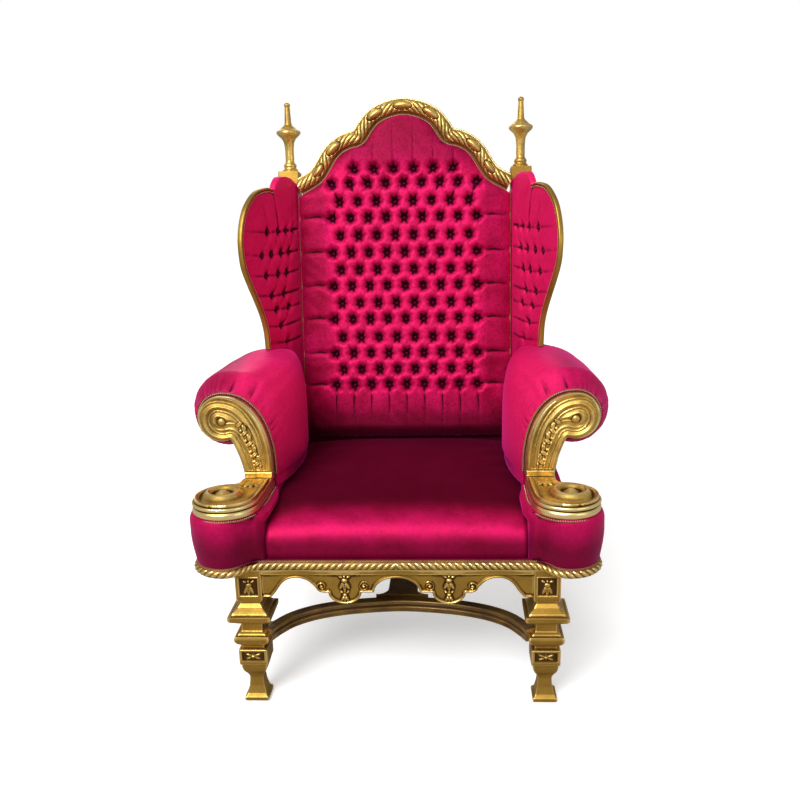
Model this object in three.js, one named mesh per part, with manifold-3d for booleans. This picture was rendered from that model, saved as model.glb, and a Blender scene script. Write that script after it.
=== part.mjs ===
// A high-backed throne armchair: carved gilt show-wood with tight velvet upholstery.
// Units are millimetres. +X is the viewer's right, -Y the front and +Z up.
// Heights start at the floor and depths at the front legs' centres; the last lines centre the depth.
import * as THREE from 'three';
import { mergeVertices } from 'three/addons/utils/BufferGeometryUtils.js';
import Module from 'manifold-3d';

const wasm = await Module();
wasm.setup();

// Clearance left between two pieces that touch
const GAP = 0.4;

// Front legs: half the distance between centres, and the square profile as height and half width
const LEG_X = 432;
const BLOCK_HALF = 39;
const ROSETTE_HALF = 42.5;
const LEG_TOP = 431;
const LEG_PROFILE = [
  [0, 33], [4, 36], [13, 36], [22, 28], [28, 26.5], [64, 20.5], [74, 20], [88, 25], [100, 33], [112, 37],
  [126, 38], [131, ROSETTE_HALF], [175, ROSETTE_HALF], [178, 33], [187, 33], [193, 42], [205, 51],
  [213, 52.5], [221, 50], [227, 39.5], [234, 31], [257, 31], [268, 51], [278, 63.5], [291, 64],
  [299, 51], [321, 29], [328, 29], [338, BLOCK_HALF], [LEG_TOP, BLOCK_HALF],
];
const BLOCK_PANEL = { low: 350, high: 404, half: 26, depth: 5 };
const ROSETTE_PANEL = { low: 138, high: 168, half: 33, depth: 4 };

// Seat board with its rope edge, whose plan swells round the arm fronts
const BOARD_LOW = 432;
const BOARD_HIGH = 457;
const BOARD_FRONT = -48;
const BOARD_BACK = 749;
const BOARD_RIM = 7;
const DRUM_X = 490;
const DRUM_Y = -9;
const DRUM_RADIUS = 97;
const SIDE_X = 507;

// Front apron under the board: half the lower edge of its three arches and two pendants
const APRON_FRONT = -34;
const APRON_DEPTH = 28;
const APRON_STEP = 358.5;
const APRON_END = 343.5;
const ARCH_TOP = 404.5;
const MIDDLE_ARCH_HALF = 66;
const PENDANT_X = 151;
const PENDANT_HALF = 48;
const PENDANT_LOW = 323;
const SIDE_ARCH = [
  [207, 356.5], [227, 362], [238, 377], [257, 395], [277, 403], [298, 404.5], [320, 398], [336, 384],
  [352, 361], [367, APRON_END],
];
const APRON_BEAD = { width: 8, proud: 5 };
const APRON_FILLET = { low: 414, proud: 6 };

// Rails behind the apron, and the back posts that kick backwards below the knee
const RAIL_LOW = 352;
const RAIL_THICK = 28;
const RAIL_ARCH = 26;
const POST_KNEE = 440;
const POST_FOOT = { front: 846, back: 896 };

// Curved stretchers: half the front one's centre line in plan, and the rail that joins the two
const STRETCHER = { low: 198, high: 236, thick: 32 };
const STRETCHER_LINE = [[0, 170], [110, 159], [197, 140], [272, 110], [330, 68], [366, 20], [388, -22]];
const STRETCHER_MEET = 410;
const LINK = { half: 45, flare: 38, high: 242 };

// Seat, arm bases and arms
const SEAT_HALF = 377;
const SEAT_BACK = 750;
const SEAT_CROWN = 612;
const ARM_BASE_INNER = 377.4;
const ARM_BASE_TOP = 606.6;
const ARM_BASE_INSET = 7;
const VOLUTE = { x: 483.5, y: -10, radius: 96.5, low: 607, high: 645, stemInner: 384, stemOuter: 473 };
const SCROLL_FRONT = 160;
const SCROLL_BACK = 188;
const SCROLL = { low: 645.4, headX: 532.5, headZ: 828, innerX: 471, throatX: 505, shoulder: 660 };
const FACING = { inner: 382, power: 0.87, top: 532.5, rise: 237.5, outer: 602, radius: 69.5, waist: 0 };
const ARM = { low: 607, inner: 380, belly: 48, bellyEnd: 0.9, power: 0.5, radius: 109.5, waist: 18 };

// How the arm's crest runs back: share of its length, crest's distance out, its rise, outermost side
const ARM_CREST = [
  [0, 532.5, 246, 612], [0.16, 530, 292, 646], [0.45, 500, 299, 642], [0.65, 476, 302, 632],
  [1, 470, 272, 620],
];

// Back: it leans about the crease where it meets the seat
const CREASE_Y = 755;
const CREASE_Z = 600;
const RAKE = THREE.MathUtils.degToRad(6.5);
const BACK_HALF = 379.2;
const BACK_LOW = 16;
const POST_X = 417.5;
const POST_HALF = 37;
const POST_FRONT = 13;
const POST_DEPTH = 62;
const POST_TOP = 968;
const FINIAL_PROFILE = [
  [0, 0], [0, 27], [12, 27], [16, 22], [26, 23], [38, 15.5], [78, 15], [104, 18], [120, 26], [130, 38],
  [139, 43.5], [146, 42], [160, 22], [170, 12.5], [228, 9.5], [236, 11], [243.5, 0],
];
const CREST_HALF_WIDTH = 29;
const CREST_LINE = [
  [0, 1178.5], [61.5, 1167], [108, 1143], [138, 1109], [161.5, 1076.5], [199, 1065.5], [237, 1046],
  [266, 1016.5], [287, 983], [316.5, 943.5], [378, 908],
];
const CREST_SECTION = [
  [-29, 44], [-29, -8], [-17, -10], [-11, -24], [1, -30], [13, -25], [18, -12], [29, -4], [29, 44],
];

// Wings: they stand on the back's sides and flare outwards
const WING_SEAM_X = 380.2;
const WING_FLARE = THREE.MathUtils.degToRad(19.6);
const WING_START = 1;
const WING_THICK = 40;
const WING_RIM_THICK = 15;
const WING_DRAW = 25;
const WING_FOOT = 860;
const WING_STEPS = 34;
const WING_EDGE = { wide: 8.6, low: 1, high: 15, firstStep: 8 };
const WING_LINE = [
  [10, 1521], [48, 1541], [98, 1549], [150, 1544], [182, 1519], [193, 1500], [207, 1499], [238, 1502],
  [305, 1490], [362, 1449], [392, 1401], [407, 1342], [405, 1290], [394, 1245], [364, 1192],
  [327, 1136], [295, 1083], [274, 1030], [266, 976], [262, 930],
];

const GOLD = { color: 0xa97c22, roughness: 0.38, metalness: 0.85 };
const VELVET = { color: 0xc01048, roughness: 0.75, metalness: 0.0 };

// Helpers that shape and join solids

function signedVolume(geometry) {
  const p = geometry.getAttribute('position');
  const a = new THREE.Vector3();
  const b = new THREE.Vector3();
  const c = new THREE.Vector3();
  let sum = 0;
  for (let i = 0; i < p.count; i += 3) {
    a.fromBufferAttribute(p, i);
    b.fromBufferAttribute(p, i + 1);
    c.fromBufferAttribute(p, i + 2);
    sum += a.dot(b.cross(c));
  }
  return sum / 6;
}

// Turns every triangle round when the solid is inside out
function outward(geometry) {
  const plain = geometry.index ? geometry.toNonIndexed() : geometry;
  if (signedVolume(plain) > 0) return plain;
  const p = plain.getAttribute('position');
  const hold = new THREE.Vector3();
  const swap = new THREE.Vector3();
  for (let i = 0; i < p.count; i += 3) {
    hold.fromBufferAttribute(p, i + 1);
    swap.fromBufferAttribute(p, i + 2);
    p.setXYZ(i + 1, swap.x, swap.y, swap.z);
    p.setXYZ(i + 2, hold.x, hold.y, hold.z);
  }
  return plain;
}

// Moves every vertex through a rule that gives its new place
function reshape(geometry, rule) {
  const plain = geometry.index ? geometry.toNonIndexed() : geometry.clone();
  const p = plain.getAttribute('position');
  for (let i = 0; i < p.count; i += 1) {
    p.setXYZ(i, ...rule(p.getX(i), p.getY(i), p.getZ(i)));
  }
  return outward(plain);
}

const vectors = (points) => points.map(([x, y]) => new THREE.Vector2(x, y));
const pairs = (points) => points.map((p) => [p.x, p.y]);
const flipX = (points) => points.map(([x, y]) => [-x, y]).reverse();

// A flat outline made thick along z, with an optional slanted rim
function slab(points, low, high, rim = 0) {
  const geometry = new THREE.ExtrudeGeometry(new THREE.Shape(vectors(points)), {
    depth: high - low - 2 * rim,
    bevelEnabled: rim > 0,
    bevelThickness: rim,
    bevelSize: rim,
    bevelOffset: -rim,
    bevelSegments: 1,
  });
  return geometry.translate(0, 0, low + rim);
}

// A closed section carried through stations 0 to 1, placed by place(t, u, v)
function carried(section, steps, place) {
  const shape = new THREE.Shape(vectors(section));
  const geometry = new THREE.ExtrudeGeometry(shape, { depth: 1, steps, bevelEnabled: false });
  return reshape(geometry, (u, v, t) => place(t, u, v));
}

function lathe(points, sides) {
  return new THREE.LatheGeometry(vectors(points), sides).rotateX(Math.PI / 2);
}

function toManifold(geometry) {
  const bare = geometry.clone();
  bare.deleteAttribute('normal');
  bare.deleteAttribute('uv');
  const merged = mergeVertices(bare, 1e-3);
  const vertProperties = new Float32Array(merged.getAttribute('position').array);
  const triVerts = new Uint32Array(merged.index.array);
  return new wasm.Manifold(new wasm.Mesh({ numProp: 3, vertProperties, triVerts }));
}

function toGeometry(manifold) {
  const mesh = manifold.getMesh();
  const geometry = new THREE.BufferGeometry();
  geometry.setAttribute('position', new THREE.BufferAttribute(mesh.vertProperties, mesh.numProp));
  geometry.setIndex(new THREE.BufferAttribute(mesh.triVerts, 1));
  return geometry;
}

function joined(base, ...more) {
  return toGeometry(more.reduce((sum, g) => sum.add(toManifold(g)), toManifold(base)));
}

function cut(base, ...tools) {
  return toGeometry(tools.reduce((rest, g) => rest.subtract(toManifold(g)), toManifold(base)));
}

function block(x0, x1, y0, y1, z0, z1) {
  const geometry = new THREE.BoxGeometry(x1 - x0, y1 - y0, z1 - z0);
  return geometry.translate((x0 + x1) / 2, (y0 + y1) / 2, (z0 + z1) / 2);
}

// Points on an arc about (cx, cy), angles in degrees, both ends included
function arc(cx, cy, rx, ry, from, to, steps) {
  return Array.from({ length: steps + 1 }, (_, i) => {
    const angle = THREE.MathUtils.degToRad(from + ((to - from) * i) / steps);
    return [cx + rx * Math.cos(angle), cy + ry * Math.sin(angle)];
  });
}

// Points on a bend that leaves a towards b and arrives at d from c
function bend(a, b, c, d, steps) {
  return pairs(new THREE.CubicBezierCurve(...vectors([a, b, c, d])).getPoints(steps));
}

// Front legs: a square profile with two sunk panels on the front

function legSolid(grow) {
  const radii = LEG_PROFILE.map(([z, half]) => [(half + grow) * Math.SQRT2, z]);
  const points = [[0, 0], ...radii, [0, LEG_TOP]];
  return new THREE.LatheGeometry(vectors(points), 4, Math.PI / 4).rotateX(Math.PI / 2);
}

function frontLeg() {
  const sunk = (panel, face) =>
    block(-panel.half, panel.half, -2 * face, panel.depth - face, panel.low, panel.high);
  return cut(legSolid(0), sunk(BLOCK_PANEL, BLOCK_HALF), sunk(ROSETTE_PANEL, ROSETTE_HALF));
}

// Plan of the board's edge on the right side, pulled in by inset

function boardEdge(inset) {
  const front = BOARD_FRONT + inset;
  const radius = DRUM_RADIUS - inset;
  const side = SIDE_X - inset;
  const round = arc(DRUM_X, DRUM_Y, radius, radius, -102, 48, 12);
  const first = round[0];
  const last = round[round.length - 1];
  const neck = bend([398 - inset, front], [436, front], [first[0] - 36, first[1] + 8], first, 4);
  const waist = bend(last, [last[0] - 34, last[1] + 30], [side, 112], [side, 162], 4);
  return [...neck, ...round.slice(1), ...waist.slice(1)];
}

function seatBoard() {
  const right = [...boardEdge(0), [SIDE_X, BOARD_BACK]];
  return slab([...right, ...flipX(right)], BOARD_LOW, BOARD_HIGH, BOARD_RIM);
}

// Front apron: the lower edge lifted by rise, from the middle to the right end

function apronEdge(rise) {
  const step = APRON_STEP + rise;
  const height = ARCH_TOP - APRON_STEP;
  const side = new THREE.SplineCurve(vectors(SIDE_ARCH));
  const steps = 12;
  const arch = Array.from({ length: steps + 1 }, (_, i) => {
    const at = side.getPoint(i / steps);
    const along = side.getTangent(i / steps);
    return [at.x - along.y * rise, at.y + along.x * rise];
  });
  return [
    ...arc(0, step, MIDDLE_ARCH_HALF + rise, height, 90, 0, 5),
    ...arc(PENDANT_X, step, PENDANT_HALF - rise, APRON_STEP - PENDANT_LOW, 180, 360, 8),
    ...arch,
    [LEG_X - BLOCK_HALF - GAP, APRON_END + rise],
  ];
}

function apronFront() {
  const end = LEG_X - BLOCK_HALF - GAP;
  const lower = apronEdge(0);
  const half = [...lower, [end, LEG_TOP]];
  const base = APRON_DEPTH - 1;
  const strip = [...lower, ...apronEdge(APRON_BEAD.width).reverse()];
  const fillet = [[-end, APRON_FILLET.low], [end, APRON_FILLET.low], [end, LEG_TOP], [-end, LEG_TOP]];
  const solid = joined(
    slab([...half, ...flipX(half)], 0, APRON_DEPTH),
    slab(strip, base, APRON_DEPTH + APRON_BEAD.proud),
    slab(flipX(strip), base, APRON_DEPTH + APRON_BEAD.proud),
    slab(fillet, base, APRON_DEPTH + APRON_FILLET.proud),
  );
  return reshape(solid, (x, z, d) => [x, APRON_FRONT + APRON_DEPTH - d, z]);
}

// Front face of a back post at height z

function postFace(z) {
  const raked = (at) => CREASE_Y + POST_FRONT / Math.cos(RAKE) + (at - CREASE_Z) * Math.tan(RAKE);
  if (z >= POST_KNEE) return raked(z);
  return THREE.MathUtils.lerp(POST_FOOT.front, raked(POST_KNEE), z / POST_KNEE);
}

// Back post: rear leg, stile and finial block in one piece

function backPost() {
  const depth = POST_DEPTH / Math.cos(RAKE);
  const top = CREASE_Z + POST_TOP * Math.cos(RAKE) - POST_FRONT * Math.sin(RAKE);
  const backTop = [postFace(top) + POST_DEPTH * Math.cos(RAKE), top - POST_DEPTH * Math.sin(RAKE)];
  const outline = [
    [POST_FOOT.front, 0], [POST_FOOT.back, 0], [postFace(POST_KNEE) + depth, POST_KNEE], backTop,
    [postFace(top), top], [postFace(POST_KNEE), POST_KNEE],
  ];
  return reshape(slab(outline, -POST_HALF, POST_HALF, 3), (y, z, x) => [x, y, z]);
}

// A side rail between a front leg and a back post, with a gently arched lower edge

function sideRail() {
  const start = BLOCK_HALF + GAP;
  const end = CREASE_Y;
  const lower = arc((start + end) / 2, RAIL_LOW, (end - start) / 2 - 60, RAIL_ARCH, 180, 0, 8);
  const outline = [[start, RAIL_LOW], ...lower, [end, RAIL_LOW], [end, LEG_TOP], [start, LEG_TOP]];
  const near = POST_X - RAIL_THICK / 2;
  return reshape(slab(outline, near, near + RAIL_THICK), (y, z, x) =>
    [x, y === end ? postFace(z) - GAP : y, z]);
}

function backRail() {
  const half = POST_X - POST_HALF - GAP;
  const front = postFace(RAIL_LOW);
  return block(-half, half, front, front + RAIL_THICK, RAIL_LOW, LEG_TOP);
}

// Stretchers: a bowed bar in front, the same bar turned round behind, and a moulded link between them

function stretcherBar(reach) {
  const { low, high, thick } = STRETCHER;
  const half = thick / 2;
  const section = [
    [-half, low], [half, low], [half, high - 6], [half - 6, high], [6 - half, high], [-half, high - 6],
    [-half, 222], [4 - half, 218], [-half, 214],
  ];
  const curve = new THREE.SplineCurve(vectors([...flipX(STRETCHER_LINE), ...STRETCHER_LINE.slice(1)]));
  return carried(section, 20, (t, u, v) => {
    const at = curve.getPoint(t);
    const along = curve.getTangent(t);
    return [THREE.MathUtils.clamp(at.x - along.y * u, -reach, reach), at.y + along.x * u, v];
  });
}

function stretcherFront() {
  const leg = legSolid(GAP);
  return cut(stretcherBar(LEG_X), leg.clone().translate(-LEG_X, 0, 0), leg.translate(LEG_X, 0, 0));
}

function stretcherBack() {
  const bar = stretcherBar(POST_X - POST_HALF - GAP);
  return reshape(bar, (x, y, z) => [x, 2 * STRETCHER_MEET - y, z]);
}

function stretcherLink() {
  const reach = STRETCHER_MEET - STRETCHER_LINE[0][1] - STRETCHER.thick / 2 - GAP;
  const { half, flare, high } = LINK;
  const flank = arc(half + flare, flare - reach, flare, flare, 270, 180, 5);
  const side = [...flank, ...flank.map(([x, y]) => [x, -y]).reverse()];
  return slab([...side, ...flipX(side)], STRETCHER.low, high).translate(0, STRETCHER_MEET, 0);
}

// Seat: a side profile carried across, with its crown falling off towards the arms

function seat() {
  const profile = [
    [-26, 458], [SEAT_BACK, 458], [SEAT_BACK, 585], [712, 602], [560, SEAT_CROWN], [380, SEAT_CROWN],
    [200, 600], [90, 588], [30, 577], [-6, 562], [-26, 538], [-34, 510], [-34, 480],
  ];
  const roll = 540;
  const fallAtArms = 20;
  return carried(profile, 8, (t, y, z) => {
    const across = 2 * t - 1;
    const crown = Math.max(0, z - roll) / (SEAT_CROWN - roll);
    return [SEAT_HALF * across, y, z - fallAtArms * across ** 4 * crown];
  });
}

// Arm base: the velvet drum under the volute and the side panel behind it

function armBase() {
  const back = SEAT_BACK;
  const outer = [...boardEdge(ARM_BASE_INSET), [SIDE_X - ARM_BASE_INSET, back]];
  const plan = [[ARM_BASE_INNER, back], [ARM_BASE_INNER, BOARD_FRONT + ARM_BASE_INSET], ...outer];
  return slab(plan, BOARD_HIGH + GAP, ARM_BASE_TOP, 4);
}

// A raised spiral that winds in on a flat face at height base, as turns from start to end radius

function spiralRib(turns, start, end, phase, base) {
  return carried([[-6, 0], [6, 0], [3, 9], [-3, 9]], 18, (t, u, v) => {
    const radius = start + (end - start) * t + u;
    const angle = phase + turns * 2 * Math.PI * t;
    return [radius * Math.cos(angle), radius * Math.sin(angle), base - 2 + v];
  });
}

const eye = (radius, base) => lathe([[0, -4], [radius + 4, -4], [radius, 8], [0, 8]], 10).translate(0, 0, base);

// Horizontal volute: a round head with a short stem, and a raised spiral on its top

function armVolute() {
  const { x, y, radius, low, high, stemInner, stemOuter } = VOLUTE;
  const back = SCROLL_BACK - GAP;
  const head = arc(x, y, radius, radius, 178, 448, 18);
  const last = head[head.length - 1];
  const throat = bend(last, [stemOuter + 4, last[1] + 1], [stemOuter, 96], [stemOuter, 122], 3);
  const plan = [[stemInner, back], [stemInner, 60], ...head, ...throat.slice(1), [stemOuter, back]];
  const rib = spiralRib(1.5, radius - 16, 16, Math.PI, high).translate(x, y, 0);
  return joined(slab(plan, low, high, 5), rib, eye(9, high).translate(x, y, 0));
}

// Outline of an arm in the front view: a tall shoulder, a round head and a waist

function armOutline({ inner, power, top, rise, outer, radius, waist, low }) {
  const { headX, headZ, innerX, throatX, shoulder } = SCROLL;
  const steps = 6;
  const crown = shoulder + rise - headZ;
  const rising = Array.from({ length: steps + 1 }, (_, i) => {
    const angle = (Math.PI / 2) * (i / steps);
    const across = Math.max(0, Math.cos(angle)) ** power;
    return [top - (top - inner) * across, shoulder + rise * Math.sin(angle) ** power];
  });
  const over = arc(top, headZ, outer - top, crown, 90, 0, 5);
  const under = arc(headX, headZ, outer - headX, radius, 0, -113, 5);
  const head = [...over, ...under.slice(1)];
  const [tipX, tipZ] = head[head.length - 1];
  const reach = Math.min(throatX, tipX) - innerX - waist;
  const hollow = [0.75, 0.5, 0.25, 0].map((drop) =>
    [innerX + waist + reach * drop ** 1.6, low + (tipZ - low) * drop]);
  return [[inner, low], ...rising, ...head.slice(1), ...hollow];
}

// Vertical arm scroll with a spiral on its face

function armScroll() {
  const thick = SCROLL_BACK - SCROLL_FRONT - GAP;
  const { headX, headZ } = SCROLL;
  const rib = spiralRib(-1.5, FACING.radius - 14, 13, Math.PI / 2, thick).translate(headX, headZ, 0);
  const board = slab(armOutline({ ...FACING, low: SCROLL.low }), 0, thick, 4);
  const solid = joined(board, rib, eye(7, thick).translate(headX, headZ, 0));
  return reshape(solid, (x, z, d) => [x, SCROLL_FRONT + thick - d, z]);
}

// The arm's crest line at t: its distance out, its rise and the outermost side

function armCrest(t) {
  const after = Math.max(1, ARM_CREST.findIndex(([at]) => at >= t - 1e-6));
  const [from, ...low] = ARM_CREST[after - 1];
  const [to, ...high] = ARM_CREST[after];
  return low.map((value, i) => THREE.MathUtils.lerp(value, high[i], (t - from) / (to - from)));
}

// Velvet arm: the facing's outline fills out behind it and rises towards the wing

function arm(grow) {
  const { lerp, smoothstep } = THREE.MathUtils;
  const flat = armOutline({ ...FACING, low: SCROLL.low });
  const at = (x, z) => flat.findIndex(([fx, fz]) => Math.hypot(fx - x, fz - z) < 0.01);
  return carried(flat, 10, (t, x, z) => {
    const full = Math.sin((Math.PI / 2) * Math.min(1, t / 0.16));
    const belly = Math.abs(Math.sin(Math.PI * Math.min(1, t / ARM.bellyEnd)));
    const [top, rise, outer] = armCrest(t);
    const line = armOutline({
      inner: ARM.inner - ARM.belly * belly ** 0.8 - 3 * (1 - t) - grow,
      power: lerp(FACING.power, ARM.power, smoothstep(t, 0, 0.45)),
      top,
      rise: rise + grow,
      outer: outer + grow,
      radius: lerp(FACING.radius + 9, ARM.radius, full) + grow,
      waist: ARM.waist * smoothstep(t, 0, 0.3) + grow,
      low: ARM.low - grow,
    });
    const [px, pz] = line[at(x, z)];
    const tuck = z < SCROLL.low + 1 ? 0.15 * Math.max(0, FACING.inner - px) : 0;
    return [px + tuck, lerp(SCROLL_BACK + GAP, postFace(pz) - GAP + 4 * grow, t), pz];
  });
}

// Wings: s runs forward from the seam, w outwards through the thickness

function onWing(s, z, w) {
  const x = WING_SEAM_X + s * Math.sin(WING_FLARE) + w * Math.cos(WING_FLARE);
  const seam = CREASE_Y + (z - CREASE_Z) * Math.tan(RAKE);
  return [x, seam - s * Math.cos(WING_FLARE) + w * Math.sin(WING_FLARE), z];
}

// A point of the wing's outline at t, moved inwards by inset

function wingPoint(t, inset) {
  const curve = new THREE.SplineCurve(vectors(WING_LINE));
  const at = curve.getPoint(t);
  const along = curve.getTangent(t);
  const drawn = at.x - WING_DRAW * Math.min(1, at.x / 150);
  return [drawn + along.y * inset, at.y - along.x * inset];
}

function wing() {
  const steps = WING_STEPS;
  const inset = WING_EDGE.wide + 2 * GAP;
  const line = Array.from({ length: steps + 1 }, (_, i) => wingPoint(i / steps, inset));
  const outline = [[WING_START, WING_FOOT], [WING_START, line[0][1]], ...line.slice(1),
    [line[steps][0], WING_FOOT]];
  const solid = reshape(slab(outline, 0, WING_THICK, 6), (s, z, w) => {
    const thick = THREE.MathUtils.lerp(WING_THICK, WING_RIM_THICK, Math.min(1, s / 330));
    return onWing(s, z, (w * thick) / WING_THICK);
  });
  return cut(solid, arm(1));
}

// Gilt edge that follows the wing's outline outside the velvet

function wingEdge() {
  const { wide, low, high, firstStep } = WING_EDGE;
  const start = firstStep / WING_STEPS;
  const section = [[wide, low], [0, low], [-1, (low + high) / 2], [0, high], [wide, high]];
  const solid = carried(section, WING_STEPS - firstStep, (t, inset, w) => {
    const [s, z] = wingPoint(start + (1 - start) * t, inset);
    return onWing(s, z, w);
  });
  return cut(solid, arm(1));
}

// Back, modelled upright about the crease: x across, y through, z up the back

function crestCurve() {
  return new THREE.SplineCurve(vectors([...flipX(CREST_LINE), ...CREST_LINE.slice(1)]));
}

function crestRail(grow) {
  const curve = crestCurve();
  const reach = POST_X - POST_HALF - GAP;
  const section = CREST_SECTION.map(([n, u]) => [n + Math.sign(n) * grow, u + Math.sign(u) * grow]);
  return carried(section, 40, (t, n, u) => {
    const at = curve.getPoint(t);
    const along = curve.getTangent(t);
    return [THREE.MathUtils.clamp(at.x - along.y * n, -reach, reach), u, at.y + along.x * n];
  });
}

// The line that runs inside the crest rail, as points from the middle to the right end

function underCrest(inset, steps) {
  const curve = crestCurve();
  return Array.from({ length: steps + 1 }, (_, i) => {
    const t = 0.5 + (0.5 * i) / steps;
    const at = curve.getPoint(t);
    const along = curve.getTangent(t);
    return [at.x + along.y * inset, at.y - along.x * inset];
  });
}

// Half width of the padded back at height v under that line

function backHalf(v, line) {
  const above = line.findIndex(([, height]) => height < v);
  if (above < 0) return BACK_HALF;
  if (above === 0) return line[0][0];
  const [x0, v0] = line[above - 1];
  const [x1, v1] = line[above];
  return Math.min(BACK_HALF, THREE.MathUtils.lerp(x0, x1, (v0 - v) / (v0 - v1)));
}

function backPad() {
  const line = underCrest(CREST_HALF_WIDTH + 1.5, 40);
  const high = line[0][1];
  const narrowest = 24;
  const section = [
    [-1, 10], [-1, -8], [-0.93, -26], [-0.7, -36], [-0.3, -40], [0.3, -40], [0.7, -36], [0.93, -26], [1, -8],
    [1, 10],
  ];
  const pad = carried(section, 24, (t, side, u) => {
    const v = BACK_LOW + (high - BACK_LOW) * (1 - (1 - t) ** 1.6);
    const half = Math.max(narrowest, backHalf(v, line));
    const thin = 1 - 0.55 * THREE.MathUtils.smoothstep(v, 1000, high);
    return [half * side, u < 0 ? u * thin : u, v];
  });
  return cut(pad, crestRail(1));
}

function backPanel() {
  const line = underCrest(CREST_HALF_WIDTH + 2, 20).filter(([x]) => x < BACK_HALF);
  const foot = -150;
  const right = [...line, [BACK_HALF, line[line.length - 1][1]], [BACK_HALF, foot]];
  const panel = reshape(slab([...right, ...flipX(right)], 12, 58, 4), (x, v, u) => [x, u, v]);
  return cut(panel, crestRail(1));
}

function finial() {
  return lathe(FINIAL_PROFILE.map(([z, r]) => [r, z]), 10);
}

// Assembly

function piece(name, geometry, look) {
  const mesh = new THREE.Mesh(geometry, new THREE.MeshStandardMaterial(look));
  mesh.name = name;
  return mesh;
}

// Adds a right piece and its mirror image
function pair(group, name, geometry, look) {
  const left = reshape(geometry, (x, y, z) => [-x, y, z]);
  group.add(piece(`${name}_left`, left, look), piece(`${name}_right`, outward(geometry), look));
}

const chair = new THREE.Group();
pair(chair, 'front_leg', frontLeg().translate(LEG_X, 0, 0), GOLD);
pair(chair, 'back_post', backPost().translate(POST_X, 0, 0), GOLD);
chair.add(piece('apron_front', apronFront(), GOLD));
pair(chair, 'side_rail', sideRail(), GOLD);
chair.add(piece('back_rail', backRail(), GOLD));
chair.add(piece('seat_board', seatBoard(), GOLD));
chair.add(piece('stretcher_front', stretcherFront(), GOLD));
chair.add(piece('stretcher_back', stretcherBack(), GOLD));
chair.add(piece('stretcher_link', stretcherLink(), GOLD));
chair.add(piece('seat', seat(), VELVET));
pair(chair, 'arm_base', armBase(), VELVET);
pair(chair, 'arm_volute', armVolute(), GOLD);
pair(chair, 'arm_scroll', armScroll(), GOLD);
pair(chair, 'arm', arm(0), VELVET);
pair(chair, 'wing', wing(), VELVET);
pair(chair, 'wing_edge', wingEdge(), GOLD);

// The back's own pieces are built upright and lean together
const back = new THREE.Group();
back.add(piece('back_pad', backPad(), VELVET));
back.add(piece('back_panel', backPanel(), VELVET));
back.add(piece('crest_rail', crestRail(0), GOLD));
const postMiddle = POST_FRONT + POST_DEPTH / 2;
pair(back, 'finial', finial().translate(POST_X, postMiddle, POST_TOP + GAP), GOLD);
back.position.set(0, CREASE_Y, CREASE_Z);
back.rotation.x = -RAKE;
chair.add(back);

// The origin goes under the middle of the whole chair's depth
const box = new THREE.Box3().setFromObject(chair, true);
chair.position.y = -(box.min.y + box.max.y) / 2;
export default chair;
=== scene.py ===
# %% [markdown]
# This throne is a carved and gilded wooden frame with crimson velvet stretched over its padding.
# Each shown piece is then made finer here and laid exactly over its solid, so sizes and places
# always come from the solid model.

import math

import bmesh
import bpy
import numpy as np
from mathutils import Matrix, Vector


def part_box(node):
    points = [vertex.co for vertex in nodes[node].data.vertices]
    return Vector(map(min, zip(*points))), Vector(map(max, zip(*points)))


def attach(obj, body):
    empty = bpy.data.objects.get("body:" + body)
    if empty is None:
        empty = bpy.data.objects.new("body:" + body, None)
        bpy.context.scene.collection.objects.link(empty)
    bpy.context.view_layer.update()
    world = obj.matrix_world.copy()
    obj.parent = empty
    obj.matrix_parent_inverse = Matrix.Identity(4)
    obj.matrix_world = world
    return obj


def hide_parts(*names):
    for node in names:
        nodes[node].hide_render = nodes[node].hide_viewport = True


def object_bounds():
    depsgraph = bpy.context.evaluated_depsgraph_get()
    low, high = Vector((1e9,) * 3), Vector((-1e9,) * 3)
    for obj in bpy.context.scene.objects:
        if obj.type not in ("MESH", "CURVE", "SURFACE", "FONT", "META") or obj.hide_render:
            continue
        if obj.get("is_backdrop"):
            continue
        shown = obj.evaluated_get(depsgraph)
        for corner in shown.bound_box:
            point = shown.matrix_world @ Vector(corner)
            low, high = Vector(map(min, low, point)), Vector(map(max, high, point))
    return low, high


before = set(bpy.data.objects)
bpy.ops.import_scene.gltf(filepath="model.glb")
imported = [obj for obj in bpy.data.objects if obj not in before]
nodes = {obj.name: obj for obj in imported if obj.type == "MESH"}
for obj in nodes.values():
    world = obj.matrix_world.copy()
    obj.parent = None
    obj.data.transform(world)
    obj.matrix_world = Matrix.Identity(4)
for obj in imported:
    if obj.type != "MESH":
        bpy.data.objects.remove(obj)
solid_low, solid_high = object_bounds()
leg_low, leg_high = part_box("front_leg_left")
LEG_Y = (leg_low[1] + leg_high[1]) / 2
print("solid model", [round(v, 3) for v in solid_low], [round(v, 3) for v in solid_high])

# %% [markdown]
# Every new piece is one or more grids of points worked out with numpy. A ring of points carried along a
# path makes a tube, and two grids joined round their edges make a slab. A closed shape's signed volume
# tells whether its faces point outwards, so a shape that came out inside out is turned here. Blender's own
# curves and primitives could give the same shapes, but on a grid every point's place is known, so relief,
# masks and rows of nails can be worked out from the same numbers.

# %% Grids, tubes and slabs
def place(x, y, z):
    """Frame points from x, y measured from the front legs' centres, and z from the floor."""
    return np.stack(np.broadcast_arrays(x, np.asarray(y) + LEG_Y, z), axis=-1).astype(float)


def quads(rows, columns, ring=False):
    """Four-sided faces between neighbours of a grid; a ring also joins the last column to the first."""
    index = np.arange(rows * columns).reshape(rows, columns)
    if ring:
        index = np.concatenate([index, index[:, :1]], axis=1)
    around = [index[:-1, :-1], index[:-1, 1:], index[1:, 1:], index[1:, :-1]]
    return np.stack(around, axis=-1).reshape(-1, 4)


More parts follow.
